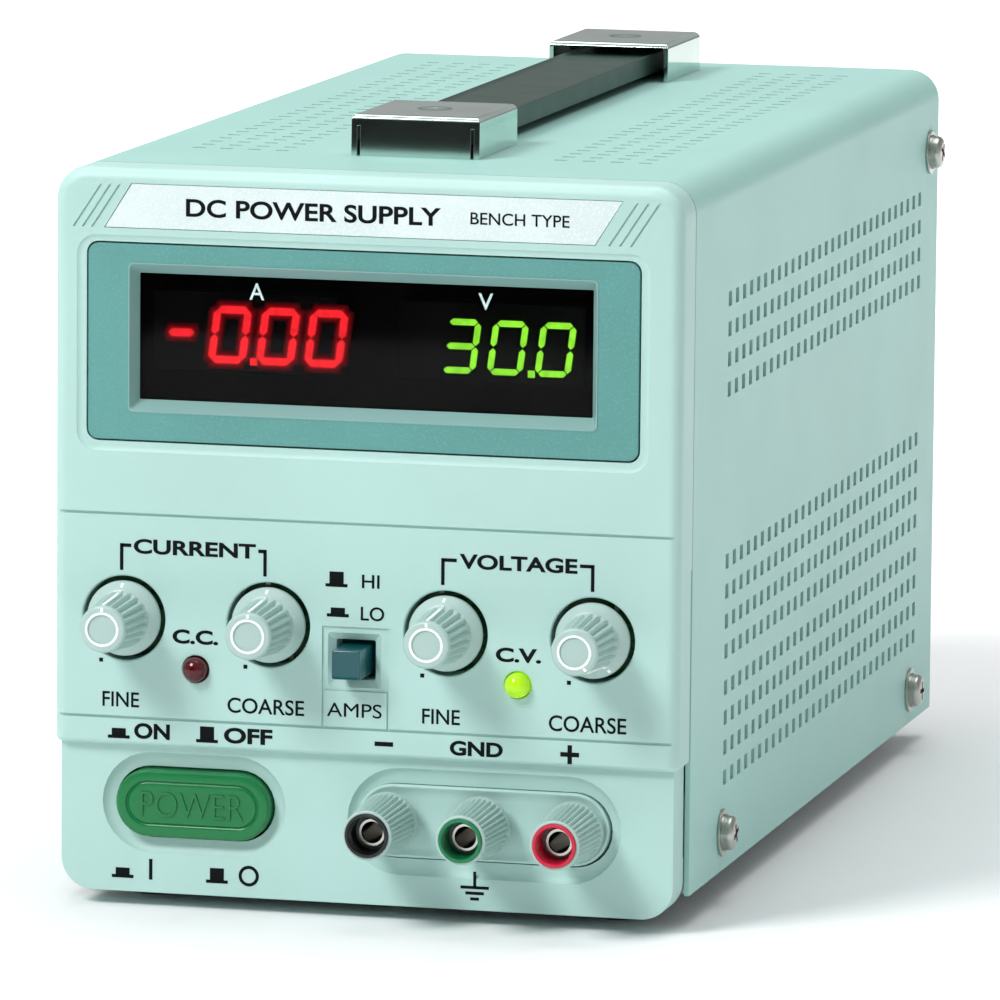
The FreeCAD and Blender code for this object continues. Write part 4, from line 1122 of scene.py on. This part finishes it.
def posts():
    """Post plate, three stems, washers and clamping caps."""
    first, last = low("post_plate"), high("post_plate")

    def outline(growth):
        return stadium(PLATE.x, PLATE.z, PLATE_SIZE.x + 2 * growth, PLATE_SIZE.z + 2 * growth, 18)

    plate = grown(outline, [(0, last.y), (0, first.y + 0.1), (-0.12, first.y - 0.35),
                            (-0.5, first.y - 0.5), (-0.9, first.y - 0.4),
                            (-1.6, first.y), (-2.6, first.y)])
    holes = [turned([(0, first.y - 5), (2.95, first.y - 5), (2.95, last.y + 5),
                     (0, last.y + 5)], centre(name + "_stem").x, PLATE.z, 40) for name in POSTS]
    piece("post_plate_moulding", carve(plate, holes), "panel", "root",
          ("post_plate",), 30)
    for name, finish in zip(POSTS, ("black_collar", "green_collar", "red_collar")):
        spot = centre(name + "_stem")
        post_stem(name, spot)
        post_cap(name, spot, finish)
        front, rear = low(name + "_washer").y, high(name + "_washer").y
        washer = turned([(2.95, front), (4.85, front), (5.0, front + 0.15), (5.0, rear),
                         (2.95, rear)], spot.x, spot.z, 48, True)
        piece(name + "_washer_turned", washer, "nickel", name + "_clamp",
              (name + "_washer",), 35)


# ------------------------------------------------------------------ case

def cover():
    """Painted cover: the vented sheet with smooth bends."""
    bm = copied("cover")
    piece("cover_sheet", bm, "cover", "root", ("cover",), 25)


def rear_side():
    """Rear panel, cooler, inlet and selectors with their edges broken."""
    refined("rear_panel", "rear_plate", "rear", 0.2)
    refined("heat_sink", "cooler", "black_anodised", 0.35)
    refined("mains_inlet", "inlet_moulding", "dark", 0.5, 3)
    refined("inlet_pins", "inlet_blades", "brass", 0.3)
    refined("fuse_drawer", "fuse_drawer_moulding", "dark", 0.35, 3)
    refined("selector_cases", "selector_mouldings", "dark", 0.3)
    for side in ("left", "right"):
        selector_thumb(side)
    rear_screws()


def selector_thumb(side):
    """Slider of a selector switch, with finger ridges."""
    first, last = low(side + "_selector_slider"), high(side + "_selector_slider")
    ridges = [block((first.x - 1, last.y - 0.5, first.z + 0.9 + 1.1 * step),
                    (last.x + 1, last.y + 1, first.z + 1.4 + 1.1 * step))
              for step in range(4)]
    slider = soften(carve(block(first, last), ridges), 0.12, 2)
    piece(side + "_selector_thumb", slider, "red_collar", side + "_selector",
          (side + "_selector_slider",))


def rear_screws():
    """Four small screws near the corners of the rear panel."""
    screws = []
    wall = high("rear_panel").y
    for x in (-52, 52):
        for rise in (44, 132):
            place = Matrix.Translation((x, wall, BASE + rise))
            screws.append(moved(pan_head(2.8, 1.6, 0.0),
                                place @ Matrix.Rotation(-math.pi / 2, 4, "X")))
    piece("rear_screws", together(screws), "screw", "root")


def pan_head(radius, height, washer):
    """A cross-recessed pan head standing on +Z, on a washer of this thickness."""
    rim = washer + height * 0.35
    profile = [(0, washer - 0.2), (radius, washer - 0.2), (radius, rim)]
    for step in range(1, 7):
        angle = step * math.pi / 12
        profile.append((radius * (0.55 + 0.45 * math.cos(angle)),
                        rim + (height * 0.65) * math.sin(angle)))
    profile.append((0, washer + height))
    head = turned(profile, 0, 0, 40)
    moved(head, Matrix.Rotation(math.pi / 2, 4, "X"))
    top = washer + height
    cross = []
    for size in ((radius * 0.58, radius * 0.13), (radius * 0.13, radius * 0.58)):
        cross.append(block((-size[0], -size[1], top - height * 0.75),
                           (size[0], size[1], top + 1)))
    return carve(head, cross)


# Side screws: how far behind the face, and the rise.
SCREW_SPOTS = ((40.5, 11.2), (226.0, 10.8), (240.0, 128.5))
FLAT_WASHER = 0.62
WASHERS = 1.25


def washers():
    """A flat washer with a lock washer on it, standing on +Z."""
    flat = turned([(1.9, 0.0), (4.6, 0.0), (4.8, 0.15), (4.8, 0.5), (4.6, FLAT_WASHER),
                   (1.9, FLAT_WASHER)], 0, 0, 44, True)
    lock = turned([(1.9, FLAT_WASHER), (3.75, FLAT_WASHER), (3.75, WASHERS), (1.9, WASHERS)],
                  0, 0, 36, True)
    return moved(together([flat, lock]), Matrix.Rotation(math.pi / 2, 4, "X"))


def side_screws():
    """Cross-recessed cover screws on their washers, three on each side."""
    shapes = []
    head = high("cover_screws").x - HALF - WASHERS
    for number, (back, rise) in enumerate(SCREW_SPOTS):
        for side in (1, -1):
            screw = together([washers(), pan_head(3.5, head, WASHERS)])
            spin = Matrix.Rotation(0.4 + number * 1.1, 4, "Z")
            aim = Matrix.Rotation(side * math.pi / 2, 4, "Y")
            place = Matrix.Translation((side * HALF, FACE + back, BASE + rise))
            shapes.append(moved(screw, place @ aim @ spin))
    piece("side_screws", together(shapes), "screw", "root", ("cover_screws",), 35)


CAP_GAUGE = 1.0
CAP_EDGE = 1.3
FLAP_LEAN = 0.32


def cap_blank(first, last, closed_end):
    """Outside of a handle cap: round top edges, and an end flap that leans back a little."""
    outer = block(first, last)
    flap_y = first.y if closed_end < 0 else last.y
    for vert in outer.verts:
        if vert.co.z > last.z - 0.01 and abs(vert.co.y - flap_y) < 0.01:
            vert.co.y -= closed_end * FLAP_LEAN
    return soften(outer, CAP_EDGE, 5, 30, lambda middle, edge: middle.z > last.z - 0.01)


def cap_hollow(first, last, closed_end):
    """Cutters for the room under the cap and for its open end."""
    room_top = last.z - CAP_GAUGE
    room = block((first.x + CAP_GAUGE, first.y + CAP_GAUGE, first.z - PAST),
                 (last.x - CAP_GAUGE, last.y - CAP_GAUGE, room_top))
    soften(room, 0.6, 4, 30, lambda middle, edge: middle.z > room_top - 0.01)
    open_from, open_to = ((last.y - CAP_GAUGE - 0.6, last.y + PAST) if closed_end < 0
                          else (first.y - PAST, first.y + CAP_GAUGE + 0.6))
    mouth = block((first.x + CAP_GAUGE, open_from, first.z - PAST),
                  (last.x - CAP_GAUGE, open_to, room_top))
    soften(mouth, 0.6, 4, 30, lambda middle, edge: middle.z > room_top - 0.01
           and abs(middle.x) > 5)
    return [room, mouth]


def flap_slits(first, last, closed_end):
    """Cutters for the slits between the end flap and the side walls."""
    flap = first.y if closed_end < 0 else last.y - CAP_GAUGE
    slits = []
    for side in (-1, 1):
        wall = first.x if side < 0 else last.x
        middle = wall - side * (CAP_GAUGE + 0.55)
        slits.append(block((middle - 0.3, flap - 2, first.z - 1),
                           (middle + 0.3, flap + CAP_GAUGE + 2, last.z - 2.4)))
    return slits


def cap_dimple(first, last):
    """Cutter for the round dimple in the middle of the cap's top."""
    middle = Vector(((first.x + last.x) / 2, (first.y + last.y) / 2, last.z))
    dimple = turned([(0, -0.75), (2.2, -0.7), (3.2, -0.45), (3.9, -0.12), (4.4, 0.05), (4.4, 2),
                     (0, 2)], 0, 0, 48)
    return moved(dimple, Matrix.Translation(middle) @ Matrix.Rotation(math.pi / 2, 4, "X"))


def handle_cap(node, closed_end):
    """Folded plated cap: top with a round dimple, side walls and one end flap."""
    first, last = low(node), high(node)
    cutters = [*cap_hollow(first, last, closed_end), *flap_slits(first, last, closed_end),
               cap_dimple(first, last)]
    shell = soften(carve(cap_blank(first, last, closed_end), cutters), 0.14, 2, 40)
    piece(node + "_plated", shell, "chrome", "root", (node,), 30)


def handle():
    """Both caps, the moulded strap between them and its screws."""
    handle_cap("front_handle_cap", -1)
    handle_cap("rear_handle_cap", 1)
    first, last = low("handle_strap"), high("handle_strap")
    strap = block(first, last)
    top = [face for face in strap.faces if face.normal.z > 0.5]
    bmesh.ops.inset_region(strap, faces=top, thickness=1.5, depth=0.0)
    bmesh.ops.translate(strap, vec=(0, 0, -0.7),
                        verts=list({vert for face in top for vert in face.verts}))
    bmesh.ops.bisect_plane(strap, geom=strap.verts[:] + strap.edges[:] + strap.faces[:],
                           plane_co=(0, (first.y + last.y) / 2, 0), plane_no=(0, 1, 0))
    soften(strap, 0.55, 3)
    piece("strap_moulding", strap, "strap", "root", ("handle_strap",), 30)
    refined("handle_screws", "handle_screw_heads", "screw", 0.25)


def inside():
    """Everything under the cover, with edges broken and its own finishes."""
    refined("chassis", "base_tray", "zinc", 0.3)
    refined("transformer_core", "core_stack", "core", 0.4)
    refined("transformer_coil", "coil_winding", "tape", 1.5, 4)
    refined("smoothing_capacitors", "capacitor_cans", "sleeve", 0.8, 3)
    refined("board_spacers", "board_posts", "nickel", 0.2)
    refined("power_transistors", "transistor_cans", "nickel", 0.8, 3)
    refined("potentiometers", "control_cans", "zinc", 0.6, 3)
    refined("range_switch", "range_switch_case", "dark", 0.4)
    refined("power_switch", "power_switch_case", "dark", 0.5)
    refined("power_rod", "power_push_rod", "dark", 0.3)
    for node in ("main_board", "control_board"):
        refined(node, node + "_laminate", "board", 0.1, 1)
    refined("display_board", "display_board_laminate", "digit_block", 0.1, 1)
    for name in KNOBS:
        refined(name + "_shaft", name + "_shaft_turned", "steel", 0.25)


def feet():
    refined("rubber_feet", "rubber_pads", "rubber", 0.8, 4)
    refined("foot_screws", "foot_screw_shanks", "screw", 0.2)


# ------------------------------------------------------------------ studio

def dark_cards():
    """Black paper, flat in front and upright further off, for glossy faces to mirror."""
    cards = together([block((-900, -1500, 1), (700, -1000, 2)),
                      block((-1300, -1620, 0), (150, -1610, 900))])
    bmesh.ops.scale(cards, vec=(MM, MM, MM), verts=cards.verts)
    mesh = bpy.data.meshes.new("dark_cards")
    cards.to_mesh(mesh)
    cards.free()
    finish = Finish("card_paper")
    finish.put(base_color=finish.blend(srgb(14, 15, 16), srgb(24, 26, 27), finish.noise(30.0)),
               roughness=0.9)
    mesh.materials.append(finish.material)
    item = bpy.data.objects.new("dark_cards", mesh)
    bpy.context.scene.collection.objects.link(item)
    item.visible_camera = False


FLOOR_REACH = 6.0
FLOOR_GLOW = 0.62


def floor():
    """Pale paper that brightens to white behind the object."""
    bm = bmesh.new()
    bmesh.ops.create_grid(bm, x_segments=1, y_segments=1, size=FLOOR_REACH)
    mesh = bpy.data.meshes.new("floor")
    bm.to_mesh(mesh)
    bm.free()
    finish = Finish("floor_paper")
    split = finish.node("ShaderNodeSeparateXYZ", {}, {0: finish.places()}, output=1)
    glow = finish.blend((0.0, 0.0, 0.0, 1), (FLOOR_GLOW, FLOOR_GLOW, FLOOR_GLOW, 1),
                        split.clamp(-0.1, 1.2))
    finish.put(base_color=srgb(244, 245, 246), roughness=0.9, emission_color=glow,
               emission_strength=1.0)
    mesh.materials.append(finish.material)
    item = bpy.data.objects.new("floor", mesh)
    bpy.context.scene.collection.objects.link(item)


def area_light(name, spot, size, power):
    """A soft light aimed at the middle of the object."""
    data = bpy.data.lights.new(name, "AREA")
    data.shape = "RECTANGLE"
    data.size, data.size_y = size
    data.energy = power
    item = bpy.data.objects.new(name, data)
    bpy.context.scene.collection.objects.link(item)
    item.location = spot
    aim = Vector((0, 0, 0.08)) - Vector(spot)
    item.rotation_mode = "QUATERNION"
    item.rotation_quaternion = aim.to_track_quat("-Z", "Y")


# Brightness of the surroundings from straight down to straight up.
SKY = ((0.0, 0.4), (0.47, 0.3), (0.52, 0.52), (0.60, 0.78), (0.70, 0.42), (1.0, 0.9))


def surroundings():
    """A pale room: bright overhead, with a dimmer band at eye level."""
    world = bpy.data.worlds.new("studio")
    bpy.context.scene.world = world
    world.use_nodes = True
    tree = world.node_tree
    spot = tree.nodes.new("ShaderNodeTexCoord")
    split = tree.nodes.new("ShaderNodeSeparateXYZ")
    level = tree.nodes.new("ShaderNodeMapRange")
    ramp = tree.nodes.new("ShaderNodeValToRGB")
    level.inputs["From Min"].default_value = -1.0
    tree.links.new(spot.outputs["Generated"], split.inputs[0])
    tree.links.new(split.outputs["Z"], level.inputs["Value"])
    tree.links.new(level.outputs["Result"], ramp.inputs["Fac"])
    tree.links.new(ramp.outputs["Color"], tree.nodes["Background"].inputs["Color"])
    stops = ramp.color_ramp.elements
    while len(stops) < len(SKY):
        stops.new(0.5)
    for stop, (place, bright) in zip(stops, SKY):
        stop.position = place
        stop.color = (bright * 0.97, bright, bright, 1)
    tree.nodes["Background"].inputs["Strength"].default_value = 0.66


def studio():
    """Soft light from the upper left front and from overhead, and a weak fill."""
    surroundings()
    area_light("key", (-0.9, -1.3, 1.5), (0.7, 0.7), 31)
    area_light("fill", (1.8, -0.9, 0.8), (1.2, 1.2), 1)
    area_light("top", (0.1, 0.3, 1.9), (1.4, 1.4), 17)
    bpy.context.scene.view_settings.view_transform = "Standard"


# The camera stands to the right of the front and a little above it, a long way off.
CAMERA_SPOT = Vector((0.466485, -1.871386, 0.346115))
CAMERA_AZIMUTH = math.radians(14.119)
CAMERA_DIP = math.radians(8.235)
CAMERA_ROLL = math.radians(0.5)
CAMERA_LENS = 332.83


def camera():
    data = bpy.data.cameras.new("camera")
    data.lens = CAMERA_LENS
    data.sensor_width = 36
    data.clip_start, data.clip_end = 0.1, 50
    item = bpy.data.objects.new("camera", data)
    bpy.context.scene.collection.objects.link(item)
    aim = (Matrix.Rotation(CAMERA_AZIMUTH, 4, "Z")
           @ Matrix.Rotation(math.pi / 2 - CAMERA_DIP, 4, "X")
           @ Matrix.Rotation(CAMERA_ROLL, 4, "Z"))
    item.matrix_world = Matrix.Translation(CAMERA_SPOT) @ aim
    bpy.context.scene.camera = item


camera()
studio()
floor()
dark_cards()
front_bezel()
badge()
display()
digits()
upper_legends()
lower_legends()
knobs()
lamps()
range_button()
power_button()
posts()
cover()
rear_side()
side_screws()
handle()
inside()
feet()
